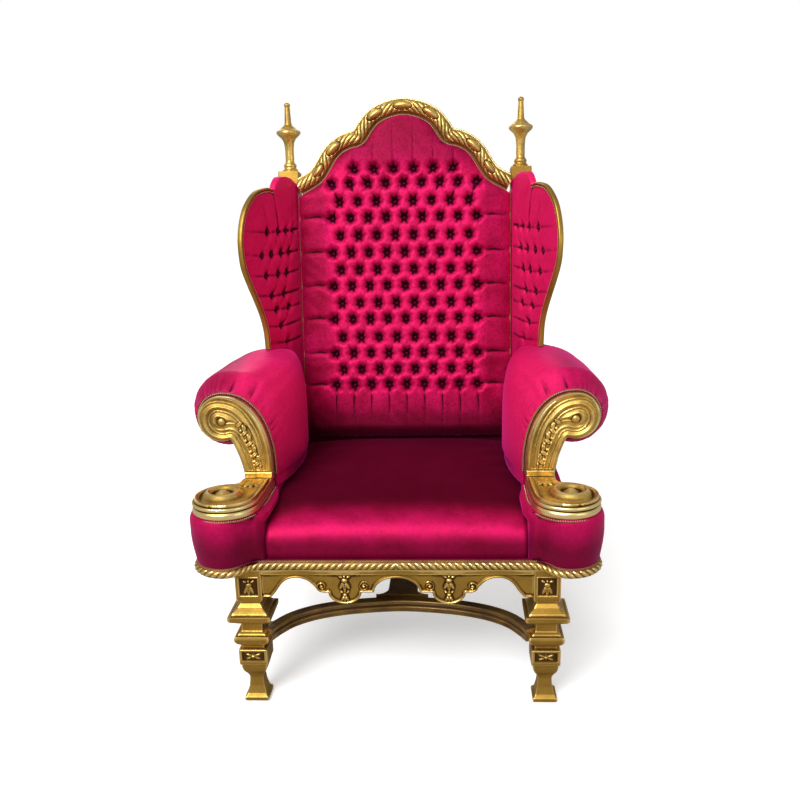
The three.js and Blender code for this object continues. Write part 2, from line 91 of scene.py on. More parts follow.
def outward(points, faces):
    """Faces reversed where the volume under them, the sum of a . (b x c) over triangles, is negative."""
    a, b, c, d = (points[faces[:, i]] for i in range(4))
    volume = (a * (np.cross(b, c) + np.cross(c, d))).sum()
    return points, faces if volume > 0 else faces[:, ::-1]


def tube(rings):
    """A closed ring carried along a path, as (rows, columns, 3), with both ends drawn to their middles."""
    ends = np.repeat(rings[[0, -1]].mean(axis=1, keepdims=True), rings.shape[1], axis=1)
    rings = np.concatenate([ends[:1], rings, ends[1:]])
    return outward(rings.reshape(-1, 3), quads(rings.shape[0], rings.shape[1], ring=True))


def ladder_tube(rings):
    """A carried ring whose ends close with rungs between opposite points, which suits hollow outlines."""
    rows, columns = rings.shape[:2]
    half = np.arange(columns // 2 - 1)
    rungs = np.stack([half, half + 1, columns - 2 - half, columns - 1 - half], axis=-1)
    faces = [quads(rows, columns, ring=True), rungs, rungs[:, ::-1] + (rows - 1) * columns]
    return outward(rings.reshape(-1, 3), np.concatenate(faces))


def slab(front, back):
    """A closed shell from two grids of the same shape, joined round their four edges."""
    rows, columns = front.shape[:2]
    a = np.arange(rows * columns).reshape(rows, columns)
    rim = np.concatenate([a[0, :-1], a[:-1, -1], a[-1, :0:-1], a[:0:-1, 0]])
    ahead = np.roll(rim, -1)
    offset = rows * columns
    walls = np.stack([ahead, rim, rim + offset, ahead + offset], axis=-1)
    faces = np.concatenate([quads(rows, columns), walls, quads(rows, columns)[:, ::-1] + offset])
    return outward(np.concatenate([front.reshape(-1, 3), back.reshape(-1, 3)]), faces)


def plate(front, back, keep):
    """A closed shell of carried rings: each front row, then the back row thinned to keep points."""
    kept = np.unique(np.linspace(back.shape[1] - 1, 0, keep).astype(int))[::-1]
    return tube(np.concatenate([front, back[:, kept]], axis=1))


def mirrored(part):
    """The same part on the throne's other side: x changes sign and the faces turn round."""
    points, faces = part
    return points * (-1, 1, 1), faces[:, ::-1]


# %% [markdown]
# Carving and upholstery both follow lines: the crest's curve, a scroll's outline, a row of nails. These
# helpers round a line through a few set points, space points evenly along it, and carry a profile along
# it. Evenly spaced points keep a repeated ornament the same size all the way.

# %% Lines and profiles
def through(knots, count):
    """A rounded line through the knots: on each stretch, a cubic led by the neighbours (Catmull-Rom)."""
    knots = np.asarray(knots, float)
    k = np.vstack([2 * knots[0] - knots[1], knots, 2 * knots[-1] - knots[-2]])
    t = np.linspace(0, len(knots) - 1, count)
    i = np.minimum(t.astype(int), len(knots) - 2)
    f = (t - i)[:, None]
    a, b, c, d = k[i], k[i + 1], k[i + 2], k[i + 3]
    return 0.5 * (2 * b + (c - a) * f + (2 * a - 5 * b + 4 * c - d) * f**2 + (3 * b - a - 3 * c + d) * f**3)


def run_along(line):
    """Distance covered at each point of a line."""
    return np.concatenate([[0], np.cumsum(np.linalg.norm(np.diff(line, axis=0), axis=1))])


def spaced(line, count=None, step=None):
    """The same line with points at equal distances, as many as count or about step apart."""
    line = np.asarray(line, float)
    run = run_along(line)
    at = np.linspace(0, run[-1], count or max(3, round(run[-1] / step) + 1))
    return np.stack([np.interp(at, run, column) for column in line.T], axis=-1)


def unit(vectors):
    """Vectors scaled to length one."""
    return vectors / np.maximum(np.linalg.norm(vectors, axis=-1, keepdims=True), 1e-12)


def sideways(line):
    """Unit vectors square to a flat line, on the left of its direction."""
    along = unit(np.gradient(line, axis=0))
    return np.stack([-along[:, 1], along[:, 0]], axis=-1)


def bezier(a, b, c, d, count):
    """A cubic bend from a to d that leaves towards b and arrives from c."""
    t = np.linspace(0, 1, count)[:, None]
    a, b, c, d = (np.asarray(p, float) for p in (a, b, c, d))
    return (1 - t) ** 3 * a + 3 * (1 - t) ** 2 * t * b + 3 * (1 - t) * t**2 * c + t**3 * d


def arc(x, y, across, up, start, end, count):
    """Points on an oval about (x, y) between two angles in degrees."""
    angle = np.radians(np.linspace(start, end, count))
    return np.stack([x + across * np.cos(angle), y + up * np.sin(angle)], axis=-1)


def step_up(value, start, end):
    """0 before start, 1 after end, and an even S between."""
    t = np.clip((value - start) / (end - start), 0, 1)
    return t * t * (3 - 2 * t)


def ridge(distance, width):
    """A rounded ridge: 1 on the line, falling away as exp(-(distance / width) squared)."""
    return np.exp(-((distance / width) ** 2))


def softened(values, passes=1):
    """Each inner value moved halfway to the mean of its two neighbours, passes times."""
    values = values.copy()
    for _ in range(passes):
        values[1:-1] = 0.25 * values[:-2] + 0.5 * values[1:-1] + 0.25 * values[2:]
    return values


def by_height(profile, count):
    """A profile's heights, count even ones and its own, and its softened half widths there."""
    heights = np.unique(np.concatenate([np.linspace(0, profile[-1][0], count), [h for h, _ in profile]]))
    return heights, softened(np.interp(heights, *zip(*profile)))


def away(outline):
    """Unit vectors square to a flat closed outline, on the side away from its middle."""
    out = sideways(outline)
    return out * np.sign((out * (outline - outline.mean(axis=0))).sum())


def flip_joined(line):
    """A right half line that starts on the middle, with its mirror image before it."""
    return np.concatenate([line[:0:-1] * (-1, 1), line])


# %% [markdown]
# Antique gilding is gold rubbed over a dark ground: the brown wash stays in hollows and the ridges are
# burnished pale. The eye reads carving from exactly that, so each piece stores how hollow it is at every
# point. Smoothing a copy of the mesh and measuring how far the skin lies below it gives the number.
# Blender's Pointiness measures this too, but only in one renderer and between nearest points.

# %% Make a piece
SAME_PLACE = 2e-6


def hollow_map(mesh, reach, passes):
    """For each point, how far it lies below its smoothed surroundings, over reach, from -1 to 1.
    Each pass moves every point of a copy six tenths of the way to its neighbours' mean."""
    count = len(mesh.vertices)
    points, normals = np.empty(count * 3), np.empty(count * 3)
    edges = np.empty(len(mesh.edges) * 2, dtype=np.int32)
    mesh.vertices.foreach_get("co", points)
    mesh.vertices.foreach_get("normal", normals)
    mesh.edges.foreach_get("vertices", edges)
    points, normals, (a, b) = points.reshape(-1, 3), normals.reshape(-1, 3), edges.reshape(-1, 2).T
    degree = np.maximum(np.bincount(a, minlength=count) + np.bincount(b, minlength=count), 1)
    smooth = points.copy()
    for _ in range(passes):
        total = [np.bincount(a, smooth[b, k], count) + np.bincount(b, smooth[a, k], count) for k in range(3)]
        smooth = 0.4 * smooth + 0.6 * np.stack(total, axis=-1) / degree[:, None]
    return np.clip(((smooth - points) * normals).sum(axis=1) / reach, -1, 1)


def make_piece(name, parts, material, stands_for=(), crease=40, reach=0.0015, passes=10, shade=None):
    """Joins parts into one mesh that rides on the throne, with its hollows stored for the finish.
    shade gives, from x, y and z, a value stored on the points: on velvet it is painted shade up to 1
    and painted light down to -1; on gilt it is brown wash left in sunk grounds."""
    starts = np.cumsum([0] + [len(points) for points, _ in parts[:-1]])
    points = np.concatenate([points for points, _ in parts])
    faces = np.concatenate([faces + start for (_, faces), start in zip(parts, starts)])
    mesh = bpy.data.meshes.new(name)
    mesh.vertices.add(len(points))
    mesh.vertices.foreach_set("co", points.ravel())
    mesh.loops.add(faces.size)
    mesh.loops.foreach_set("vertex_index", faces.ravel().astype(np.int32))
    mesh.polygons.add(len(faces))
    mesh.polygons.foreach_set("loop_start", np.arange(0, faces.size, 4, dtype=np.int32))
    mesh.update(calc_edges=True)
    work = bmesh.new()
    work.from_mesh(mesh)
    bmesh.ops.remove_doubles(work, verts=work.verts, dist=SAME_PLACE)
    work.to_mesh(mesh)
    work.free()
    mesh.polygons.foreach_set("use_smooth", np.ones(len(mesh.polygons), dtype=bool))
    if crease:
        mesh.set_sharp_from_angle(angle=math.radians(crease))
    mesh.attributes.new("hollow", "FLOAT", "POINT").data.foreach_set("value", hollow_map(mesh, reach, passes))
    if shade:
        skin = np.empty(len(mesh.vertices) * 3)
        mesh.vertices.foreach_get("co", skin)
        x, y, z = skin.reshape(-1, 3).T
        painted_light_and_wash = np.clip(shade(np.abs(x), y - LEG_Y, z), -1, 1)
        mesh.attributes.new("shade", "FLOAT", "POINT").data.foreach_set("value", painted_light_and_wash)
    mesh.materials.append(material)
    piece = bpy.data.objects.new(name, mesh)
    bpy.context.scene.collection.objects.link(piece)
    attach(piece, "root")
    if stands_for:
        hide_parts(*stands_for)
    print(name, len(mesh.polygons), "faces")
    return piece


def make_pair(name, parts, material, stands_for=None, **finish):
    """The right piece and its mirror image on the left, standing for the solids of the same names."""
    both = []
    for side in ("right", "left"):
        shown = parts if side == "right" else [mirrored(part) for part in parts]
        solids = [f"{solid}_{side}" for solid in stands_for or ()]
        both.append(make_piece(f"{name}_{side}", shown, material, solids, **finish))
    return both


# %% [markdown]
# Two finishes cover the throne, and each shares one node group. A helper adds a node, sets it up and
# wires it in one call, which keeps a material readable from its coordinates to its shader.

# %% Node helpers
def add(tree, kind, feeds=None, **settings):
    """A new node with its settings, and each named input linked to a socket or set to a value."""
    node = tree.nodes.new(kind)
    for key, value in settings.items():
        setattr(node, key, value)
    for key, value in (feeds or {}).items():
        if isinstance(value, bpy.types.NodeSocket):
            tree.links.new(value, node.inputs[key])
        else:
            node.inputs[key].default_value = value
    return node


def mixed(tree, factor, first, second):
    """A colour between first and second."""
    return add(tree, "ShaderNodeMix", {0: factor, 6: first, 7: second}, data_type="RGBA").outputs[2]


def ranged(tree, value, low, high, to_low=0.0, to_high=1.0):
    """A value moved from one range to another and held there."""
    feeds = {"Value": value, 1: low, 2: high, 3: to_low, 4: to_high}
    return add(tree, "ShaderNodeMapRange", feeds).outputs[0]


def maths(tree, operation, first, second):
    """Two values put together by one operation."""
    return add(tree, "ShaderNodeMath", {0: first, 1: second}, operation=operation).outputs[0]


def noise(tree, where, scale, detail=4.0, rough=0.55):
    """Cloudy noise of a given scale, from 0 to 1."""
    feeds = {"Vector": where, "Scale": scale, "Detail": detail, "Roughness": rough}
    return add(tree, "ShaderNodeTexNoise", feeds).outputs[0]


def new_group(name, inputs, outputs):
    """An empty node group with named sockets: its tree, its input node and its output node."""
    tree = bpy.data.node_groups.new(name, "ShaderNodeTree")
    for label, kind, value in inputs:
        socket = tree.interface.new_socket(label, in_out="INPUT", socket_type=kind)
        socket.default_value = value
    for label, kind in outputs:
        tree.interface.new_socket(label, in_out="OUTPUT", socket_type=kind)
    return tree, tree.nodes.new("NodeGroupInput"), tree.nodes.new("NodeGroupOutput")


COLOUR, NUMBER = "NodeSocketColor", "NodeSocketFloat"


def new_material(name):
    """A material with an empty tree, and its output node."""
    material = bpy.data.materials.new(name)
    material.use_nodes = True
    material.node_tree.nodes.clear()
    return material, material.node_tree, material.node_tree.nodes.new("ShaderNodeOutputMaterial")


# %% [markdown]
# The gilding group takes the piece's hollows and a few colours. Hollows get the brown wash, ridges the
# burnished pale gold, and slow noise makes the leaf warmer and cooler in patches. Fine noise is the
# brushed ground under the leaf. The group puts out a colour, a roughness and a height.

# %% Aged gilding group
aged_gilding, taken, given = new_group(
    "aged gilding",
    [("Gold", COLOUR, (0.5, 0.3, 0.06, 1)), ("Burnished", COLOUR, (0.9, 0.7, 0.35, 1)),
     ("Wash", COLOUR, (0.08, 0.035, 0.01, 1)), ("Wash strength", NUMBER, 1.0), ("Patch scale", NUMBER, 14.0),
     ("Brush scale", NUMBER, 260.0)],
    [("Color", COLOUR), ("Roughness", NUMBER), ("Height", NUMBER)])
where = add(aged_gilding, "ShaderNodeTexCoord").outputs["Object"]
hollow = add(aged_gilding, "ShaderNodeAttribute", attribute_name="hollow").outputs["Fac"]
patches = noise(aged_gilding, where, taken.outputs["Patch scale"], 6.0, 0.62)
brush = noise(aged_gilding, where, taken.outputs["Brush scale"], 3.0, 0.6)
warm = mixed(aged_gilding, ranged(aged_gilding, patches, 0.35, 0.7), taken.outputs["Gold"],
             (0.33, 0.19, 0.035, 1))
uneven = maths(aged_gilding, "ADD", hollow, ranged(aged_gilding, brush, 0.25, 0.75, -0.14, 0.14))
left_in = add(aged_gilding, "ShaderNodeAttribute", attribute_name="shade").outputs["Fac"]
sunk = maths(aged_gilding, "MAXIMUM", ranged(aged_gilding, uneven, 0.04, 0.42), left_in)
sunk = maths(aged_gilding, "MULTIPLY", sunk, taken.outputs["Wash strength"])
raised = ranged(aged_gilding, uneven, -0.1, -0.65, 0.0, 0.85)
washed = mixed(aged_gilding, sunk, mixed(aged_gilding, raised, warm, taken.outputs["Burnished"]),
               taken.outputs["Wash"])
rough = ranged(aged_gilding, uneven, -0.5, 0.5, 0.3, 0.6)
rough = maths(aged_gilding, "ADD", rough, ranged(aged_gilding, patches, 0.3, 0.7, -0.05, 0.06))
aged_gilding.links.new(washed, given.inputs["Color"])
aged_gilding.links.new(rough, given.inputs["Roughness"])
aged_gilding.links.new(maths(aged_gilding, "ADD", brush, patches), given.inputs["Height"])
print("gilding group with", len(aged_gilding.nodes), "nodes")

# %% [markdown]
# The frame's gold isn't one gold. A lighter copy on the crest, the scrolls and the finials is painted
# light, and a darker copy on the rails, the board and the stretchers below is painted shade. The nails are
# a pinkish bronze on a dark braid, and the seat board's row is a darker bronze. One shader with other
# colours for the group gives all of them, which is simpler than a material each, and they age in the same
# way.

# %% Gilt and bronze materials
def gilt_finish(name, metallic, bump, values):
    """A metal over the aged gilding group."""
    material, tree, out = new_material(name)
    group = add(tree, "ShaderNodeGroup", node_tree=aged_gilding)
    for key, value in values.items():
        group.inputs[key].default_value = value
    relief = add(tree, "ShaderNodeBump", {
        "Height": group.outputs["Height"], "Strength": bump, "Distance": 0.0006})
    shader = add(tree, "ShaderNodeBsdfPrincipled", {
        "Base Color": group.outputs["Color"], "Roughness": group.outputs["Roughness"],
        "Normal": relief.outputs[0], "Metallic": metallic})
    tree.links.new(shader.outputs[0], out.inputs[0])
    return material


gilt = gilt_finish("antique gilt", 0.94, 0.35, {
    "Gold": (0.48, 0.285, 0.050, 1), "Burnished": (0.88, 0.62, 0.22, 1)})
# A lighter copy for the crest, the scrolls and the finials: painted light.
gilt_painted_light = gilt_finish("antique gilt, painted light", 0.96, 0.35, {
    "Gold": (0.86, 0.58, 0.15, 1), "Burnished": (1.0, 0.82, 0.40, 1)})
# A darker copy for the rails, the board and the stretchers under the seat: painted shade.
gilt_painted_shade = gilt_finish("antique gilt in shade", 0.75, 0.45, {
    "Gold": (0.13, 0.07, 0.03, 1), "Burnished": (0.34, 0.22, 0.09, 1)})
bronze = gilt_finish("pink bronze nails", 0.85, 0.2, {
    "Gold": (0.86, 0.52, 0.42, 1), "Burnished": (0.98, 0.76, 0.66, 1), "Wash strength": 0.3})
# A darker copy of the bronze for the seat board's row.
bronze_darker = gilt_finish("darker bronze nails", 0.8, 0.2, {
    "Gold": (0.34, 0.11, 0.10, 1), "Burnished": (0.62, 0.32, 0.28, 1), "Wash strength": 0.6})
bronze_braid = gilt_finish("dark bronze braid", 0.2, 0.4, {
    "Gold": (0.12, 0.014, 0.022, 1), "Burnished": (0.2, 0.04, 0.045, 1), "Wash": (0.04, 0.003, 0.006, 1)})
for name, node in nodes.items():
    node.data.materials.clear()
    node.data.materials.append(gilt)
# The rails, the board and the link take the darker copy, painted shade.
for name in ("side_rail_left", "side_rail_right", "back_rail", "seat_board", "stretcher_link"):
    nodes[name].data.materials[0] = gilt_painted_shade
print("gilt on", len(nodes), "solids")

# %% [markdown]
# Velvet is dark when looked at straight on and glows where its pile is seen from the side. The sheen of
# the Principled shader does that. The group adds what the hand does to the pile, slow patches brushed
# lighter and darker, and a very fine pile for the bump. It also paints light and shade into the colour:
# painted shade in folds and wells, a painted highlight on the raised pillows, and the painted light and
# shade that each piece stores as its shade value.

# %% Velvet group and materials
velvet_pile, taken, given = new_group(
    "velvet pile",
    [("Pile", COLOUR, (0.50, 0.0035, 0.062, 1)), ("Brushed and lit", COLOUR, (0.82, 0.008, 0.145, 1)),
     ("Deep", COLOUR, (0.05, 0.0006, 0.006, 1)), ("Patch scale", NUMBER, 9.0), ("Crush scale", NUMBER, 85.0),
     ("Crush", NUMBER, 0.22), ("Pile scale", NUMBER, 900.0), ("Lit", COLOUR, (0.98, 0.018, 0.165, 1))],
    [("Color", COLOUR), ("Roughness", NUMBER), ("Height", NUMBER)])
where = add(velvet_pile, "ShaderNodeTexCoord").outputs["Object"]
hollow = add(velvet_pile, "ShaderNodeAttribute", attribute_name="hollow").outputs["Fac"]
painted_light_and_wash = add(velvet_pile, "ShaderNodeAttribute", attribute_name="shade").outputs["Fac"]
patches = noise(velvet_pile, where, taken.outputs["Patch scale"], 6.0, 0.6)
crushed = noise(velvet_pile, where, taken.outputs["Crush scale"], 5.0, 0.7)
fibres = noise(velvet_pile, where, taken.outputs["Pile scale"], 2.0, 0.7)
brushed = mixed(velvet_pile, ranged(velvet_pile, patches, 0.38, 0.66), taken.outputs["Pile"],
                taken.outputs["Brushed and lit"])
# Raised pillows turn to the brushed colour: a painted highlight.
raised = ranged(velvet_pile, hollow, 0.0, -0.8, 0.0, 0.65)
brushed_and_lit = mixed(velvet_pile, raised, brushed, taken.outputs["Brushed and lit"])
# Where the stored shade value is below 0 the colour turns to Lit: painted light.
brushed_and_lit = mixed(velvet_pile, ranged(velvet_pile, painted_light_and_wash, 0.0, -1.0), brushed_and_lit, taken.outputs["Lit"])
marked = mixed(velvet_pile, ranged(velvet_pile, crushed, 0.46, 0.68, 0.0, taken.outputs["Crush"]), brushed_and_lit,
               taken.outputs["Deep"])
# Folds, wells and stored shade values above 0 turn the colour to Deep: painted shade.
dark = maths(velvet_pile, "MAXIMUM", ranged(velvet_pile, hollow, 0.04, 0.42), painted_light_and_wash)
with_painted_shade = mixed(velvet_pile, dark, marked, taken.outputs["Deep"])
speckled = mixed(velvet_pile, ranged(velvet_pile, fibres, 0.3, 0.7, 0.0, 0.22), with_painted_shade, taken.outputs["Deep"])
velvet_pile.links.new(speckled, given.inputs["Color"])
velvet_pile.links.new(ranged(velvet_pile, patches, 0.3, 0.7, 0.46, 0.64), given.inputs["Roughness"])
velvet_pile.links.new(maths(velvet_pile, "ADD", fibres, crushed), given.inputs["Height"])


def velvet_finish(name, sheen, values, metallic=0.42):
    """Cloth over the velvet pile group, with a pink sheen and some of silk's coloured gloss."""
    material, tree, out = new_material(name)
    group = add(tree, "ShaderNodeGroup", node_tree=velvet_pile)
    for key, value in values.items():
        group.inputs[key].default_value = value
    relief = add(tree, "ShaderNodeBump", {
        "Height": group.outputs["Height"], "Strength": 0.3, "Distance": 0.0008})
    shader = add(tree, "ShaderNodeBsdfPrincipled", {
        "Base Color": group.outputs["Color"], "Roughness": group.outputs["Roughness"],
        "Normal": relief.outputs[0], "Specular IOR Level": 0.1, "Metallic": metallic, "Sheen Weight": sheen,
        "Sheen Roughness": 0.4, "Sheen Tint": (1.0, 0.05, 0.42, 1)})
    tree.links.new(shader.outputs[0], out.inputs[0])
    return material


velvet = velvet_finish("velvet crimson", 0.5, {})
velvet_crushed = velvet_finish("velvet crushed", 0.5, {"Crush": 0.5, "Crush scale": 120.0})
# The seat's copy has little sheen, so the seat reads darker: painted shade.
velvet_seat = velvet_finish("velvet on the seat", 0.1, {})
# The buttons' copy is dark with little sheen: painted shade at the bottom of the wells.
velvet_button_painted_shade = velvet_finish("velvet on buttons, painted shade", 0.05, {
    "Patch scale": 40.0, "Pile": (0.08, 0.001, 0.01, 1), "Brushed and lit": (0.14, 0.002, 0.02, 1)}, 0.1)
print("materials", [m.name for m in bpy.data.materials])

# %% [markdown]
# Beads stand for round-headed upholstery nails. Each row is hundreds of small domes, so the dome is only
# a few dozen faces, and every row is one mesh. An Array modifier along a curve could set them as well,
# but it would need a curve for each row. A flat woven braid lies under every row.

# %% Nails and braid
DOME_SIDES, DOME_LEVELS = 5, 5
BRAID_STEP, BRAID_STITCH = 0.0036, 0.0108


def dome(radius, height):
    """A closed round bead as level rings from pole to pole, flattened along z."""
    up = np.linspace(-math.pi / 2, math.pi / 2, DOME_LEVELS)[:, None]
    angle = np.arange(DOME_SIDES) * math.tau / DOME_SIDES
    across = radius * np.cos(up)
    rings = np.broadcast_arrays(across * np.cos(angle), across * np.sin(angle), height * np.sin(up))
    return np.stack(rings, axis=-1)


def scattered(shape, centres):
    """The same small closed grid moved to every centre, as one part."""
    rows, columns = shape.shape[:2]
    starts = np.arange(len(centres)) * rows * columns
    faces = quads(rows, columns, ring=True) + starts[:, None, None]
    return outward((centres[:, None, None] + shape).reshape(-1, 3), faces.reshape(-1, 4))


def nails(line, step, radius):
    """Beads at equal steps along a line, as one part."""
    return scattered(dome(radius, radius), spaced(line, step=step))


def braid(line, out, wide, thick):
    """A flat strip along a line: wide across the surface, thick along out, pinched at each stitch."""
    line = spaced(line, step=BRAID_STEP)
    out = np.broadcast_to(unit(np.asarray(out, float)), line.shape)
    across = unit(np.cross(unit(np.gradient(line, axis=0)), out))
    angle = np.linspace(0, math.tau, 7)[:-1]
    plump = 1 + 0.35 * np.cos(run_along(line) * math.tau / BRAID_STITCH)
    rings = (line[:, None] + across[:, None] * (wide / 2 * np.cos(angle))[None, :, None]
             + out[:, None] * (plump[:, None] * thick / 2 * np.sin(angle)[None])[..., None])
    return tube(rings)


# %% [markdown]
# The back leans, so its shapes are worked out upright and leaned afterwards: x across, v up the cloth
# from the crease at the seat, u through the padding. The wings have their own plane in the same way.

# %% Back and wing planes
CREASE_Y, CREASE_Z, RAKE = 0.755, 0.6, math.radians(6.5)
BACK_HALF, POST_INNER = 0.3792, 0.3801
WING_SEAM, WING_FLARE = 0.3802, math.radians(19.6)
lean, flare = round(math.degrees(RAKE), 1), round(math.degrees(WING_FLARE), 1)
print("the back leans", lean, "degrees and the wings flare", flare)


def on_back(x, v, u):
    """A point of the leaning back: v along the lean, u square to it."""
    y = CREASE_Y + u * math.cos(RAKE) + v * math.sin(RAKE)
    return place(x, y, CREASE_Z + v * math.cos(RAKE) - u * math.sin(RAKE))


def on_wing(s, z, w):
    """A point of the right wing: s forward from the seam, w outwards through its thickness."""
    seam = CREASE_Y + (z - CREASE_Z) * math.tan(RAKE)
    y = seam - s * math.cos(WING_FLARE) + w * math.sin(WING_FLARE)
    return place(WING_SEAM + s * math.sin(WING_FLARE) + w * math.cos(WING_FLARE), y, z)


# %% [markdown]
# Deep buttoning pulls the velvet down to the backing at each button, and the cloth folds between
# neighbouring buttons because there is more of it than the surface needs. A cloth simulation would find
# such folds by itself, but not where the photograph has them. So a pillow rises away from each button
# here, and narrow creases follow the lines between neighbours, deepest at their ends.

# %% Buttoned padding
WELL_LIFT = 0.002


def button_wells(x, v, buttons, wide, tall):
    """Pillow height from 0 at a button to 1 away from it: 1 - exp(-(distance to the power 2.5)), where
    the distance to the nearest button is oval and has six waves round it."""
    gap = np.full(np.broadcast(x, v).shape, 9.0)
    for k, (bx, bv) in enumerate(buttons):
        dx, dv = (x - bx) / wide, (v - bv - WELL_LIFT) / tall
        star = 1 + 0.16 * np.cos(6 * np.arctan2(dv, dx) + 1.3 * k)
        gap = np.minimum(gap, (dx**2 + dv**2) * star)
    return 1 - np.exp(-gap**1.25)


def crease(x, v, start, end, width, ends=(1.0, 1.0), middle=0.35):
    """A fold along the line from start to end, with its own depth at each end and in the middle."""
    (ax, av), (bx, bv) = start, end
    dx, dv = bx - ax, bv - av
    t = ((x - ax) * dx + (v - av) * dv) / (dx * dx + dv * dv)
    held = np.clip(t, 0, 1)
    off = np.hypot(x - ax - held * dx, v - av - held * dv)
    strength = middle + (ends[0] - middle) * (1 - held) ** 2.5 + (ends[1] - middle) * held**2.5
    return strength * ridge(off, width)


def paired(buttons, reach, flat):
    """Neighbouring buttons whose distance is under reach and whose line isn't flatter than flat."""
    b = np.asarray(buttons)
    i, j = np.triu_indices(len(b), 1)
    gap = b[j] - b[i]
    near = (np.hypot(*gap.T) < reach) & (np.abs(gap[:, 1]) > flat)
    return list(zip(b[i][near], b[j][near]))


# %% [markdown]
# The padded back ends under the crest rail, so the rail's curve comes first. It could be a chain of arcs,
# but a rounded line through a few points on one half, mirrored, follows the sawn curve more closely. The
# velvet's outline is that line moved inwards, and it gives the padding's half width at every height.

# %% Crest line and the back's outline
CREST_KNOTS = [(0, 1.1785), (0.0615, 1.167), (0.108, 1.143), (0.138, 1.109), (0.1615, 1.0765),
               (0.199, 1.0655), (0.237, 1.046), (0.266, 1.0165), (0.287, 0.983), (0.3165, 0.9435),
               (0.378, 0.908)]
CREST_HALF_WIDTH, EDGE_FALL = 0.029, 0.6
crest_line = spaced(through(flip_joined(np.array(CREST_KNOTS)), 900), step=0.0016)
crest_side = sideways(crest_line)


def under_crest(inset):
    """The right half of the crest line moved inwards, from the middle to the end."""
    inner = crest_line - crest_side * inset
    return inner[inner[:, 0] >= 0]


pad_edge = under_crest(CREST_HALF_WIDTH + 0.002)
missing = BACK_HALF - pad_edge[-1, 0]
pad_edge = np.concatenate([pad_edge, pad_edge[-1:] + (missing, -EDGE_FALL * missing)])
falls = np.minimum.accumulate(pad_edge[:, 1])
PAD_TOP = falls[0] - 0.0015


def pad_half(v, top_line=pad_edge[::-1], tops=falls[::-1]):
    """Half width of the padded back at height v: the seam's distance, or less under the crest."""
    return np.minimum(BACK_HALF, np.interp(v, tops, top_line[:, 0]))


print("crest length", round(run_along(crest_line)[-1], 3), "padded back up to", round(PAD_TOP, 3))

# %% [markdown]
# On the real back the buttons stand in staggered rows, so that the folds between them make diamonds. The
# diamonds run out at the sides in level pleats and at the top and bottom in upright ones. Each fold is one
# crease between two known points, and the deepest crease counts wherever several meet.

# %% Buttoned back
LOW_ROWS = [0.250, 0.367, 0.491, 0.609, 0.730, 0.849]
HIGH_ROWS, TOP_ROW = [0.194, 0.309, 0.433, 0.552, 0.670, 0.793, 0.912], 0.961
EIGHT, NINE, SIX = [0.0325, 0.098, 0.164, 0.23], [0.064, 0.128, 0.192, 0.257], [0.035, 0.105, 0.175]
back_buttons = [(x * side, v) for v in LOW_ROWS for x in EIGHT for side in (-1, 1)]
back_buttons += [(x * side, v) for v in HIGH_ROWS for x in NINE for side in (-1, 1)]
back_buttons += [(0, v) for v in HIGH_ROWS] + [(x * side, TOP_ROW) for x in SIX for side in (-1, 1)]
BACK_ROWS, BACK_COLUMNS, BACK_WELL = 300, 190, (0.0172, 0.0182)
PAD_FOOT, NARROWEST = 0.004, 0.012
TOP_PLEAT_END, LOW_PLEAT_END, SIDE_PLEAT, SIDE_BOW = 1.12, 0.03, 0.0095, 0.0075


def back_folds(x, v):
    """The deepest crease at each point: diagonals between buttons, and pleats out to the pad's edges."""
    folds = np.zeros_like(x)
    for a, b in paired(back_buttons, 0.078, 0.03):
        folds = np.maximum(folds, crease(x, v, a, b, 0.0042, middle=0.22))
    for start, row in ((side * NINE[-1], row) for side in (-1, 1) for row in HIGH_ROWS):
        far = math.copysign(min(BACK_HALF, float(pad_half(row))), start)
        bow = (start + 0.45 * (far - start), row + SIDE_BOW)
        near_part = crease(x, v, (start, row), bow, SIDE_PLEAT, (1.0, 0.7), 0.7)
        far_part = crease(x, v, bow, (far, row + 0.002), SIDE_PLEAT, (0.7, 0.7), 0.6)
        folds = np.maximum(folds, 1.5 * np.maximum(near_part, far_part))
    for bx in [-x for x in SIX] + SIX:
        pleat = crease(x, v, (bx, TOP_ROW), (bx * 1.05, TOP_PLEAT_END), 0.003, (1.0, 0.1), 0.4)
        folds = np.maximum(folds, 0.75 * pleat)
    for bx in [-x for x in NINE] + [0] + NINE:
        pleat = crease(x, v, (bx, HIGH_ROWS[0]), (bx * 1.03, LOW_PLEAT_END), 0.0045, (1.0, 0.2), 0.5)
        folds = np.maximum(folds, 0.9 * pleat)
    return folds


def thinned(v):
    """Share of the padding's depth left at height v, which falls under the crest."""
    return 1 - 0.62 * step_up(v, 0.98, PAD_TOP)


# %% Back cushion
def back_skin():
    """The padded back's face: a crowned pad less wells, diagonal folds and pleats, as a grid."""
    v = np.linspace(PAD_FOOT, PAD_TOP, BACK_ROWS)[:, None]
    share = np.linspace(-1, 1, BACK_COLUMNS)[None]
    share = share * (1.15 - 0.15 * share**2)
    half = np.maximum(pad_half(v), NARROWEST)
    x = share * half
    wells, folds = button_wells(x, v, back_buttons, *BACK_WELL), back_folds(x, v)
    crown = (1 - np.abs(share) ** 5) ** 0.5
    thin = thinned(v)
    base = 0.009 + 0.031 * crown * thin * step_up(v, -0.02, 0.05)
    buttoned = step_up(v, 0.03, 0.17) * (1 - step_up(v, 0.99, 1.05)) * (1 - step_up(np.abs(x), 0.275, 0.33))
    depth = 0.026 * (1 - wells) * thin + 0.0060 * folds * thin * (1 - 0.6 * np.abs(share) ** 14)
    plump = 0.006 * (wells - 0.6) * buttoned
    slack = 0.0007 * np.sin(x * 55 + 9 * np.sin(v * 11)) * np.sin(v * 48 + 4 * np.sin(x * 17))
    return x, v, -(base + plump + slack - depth)


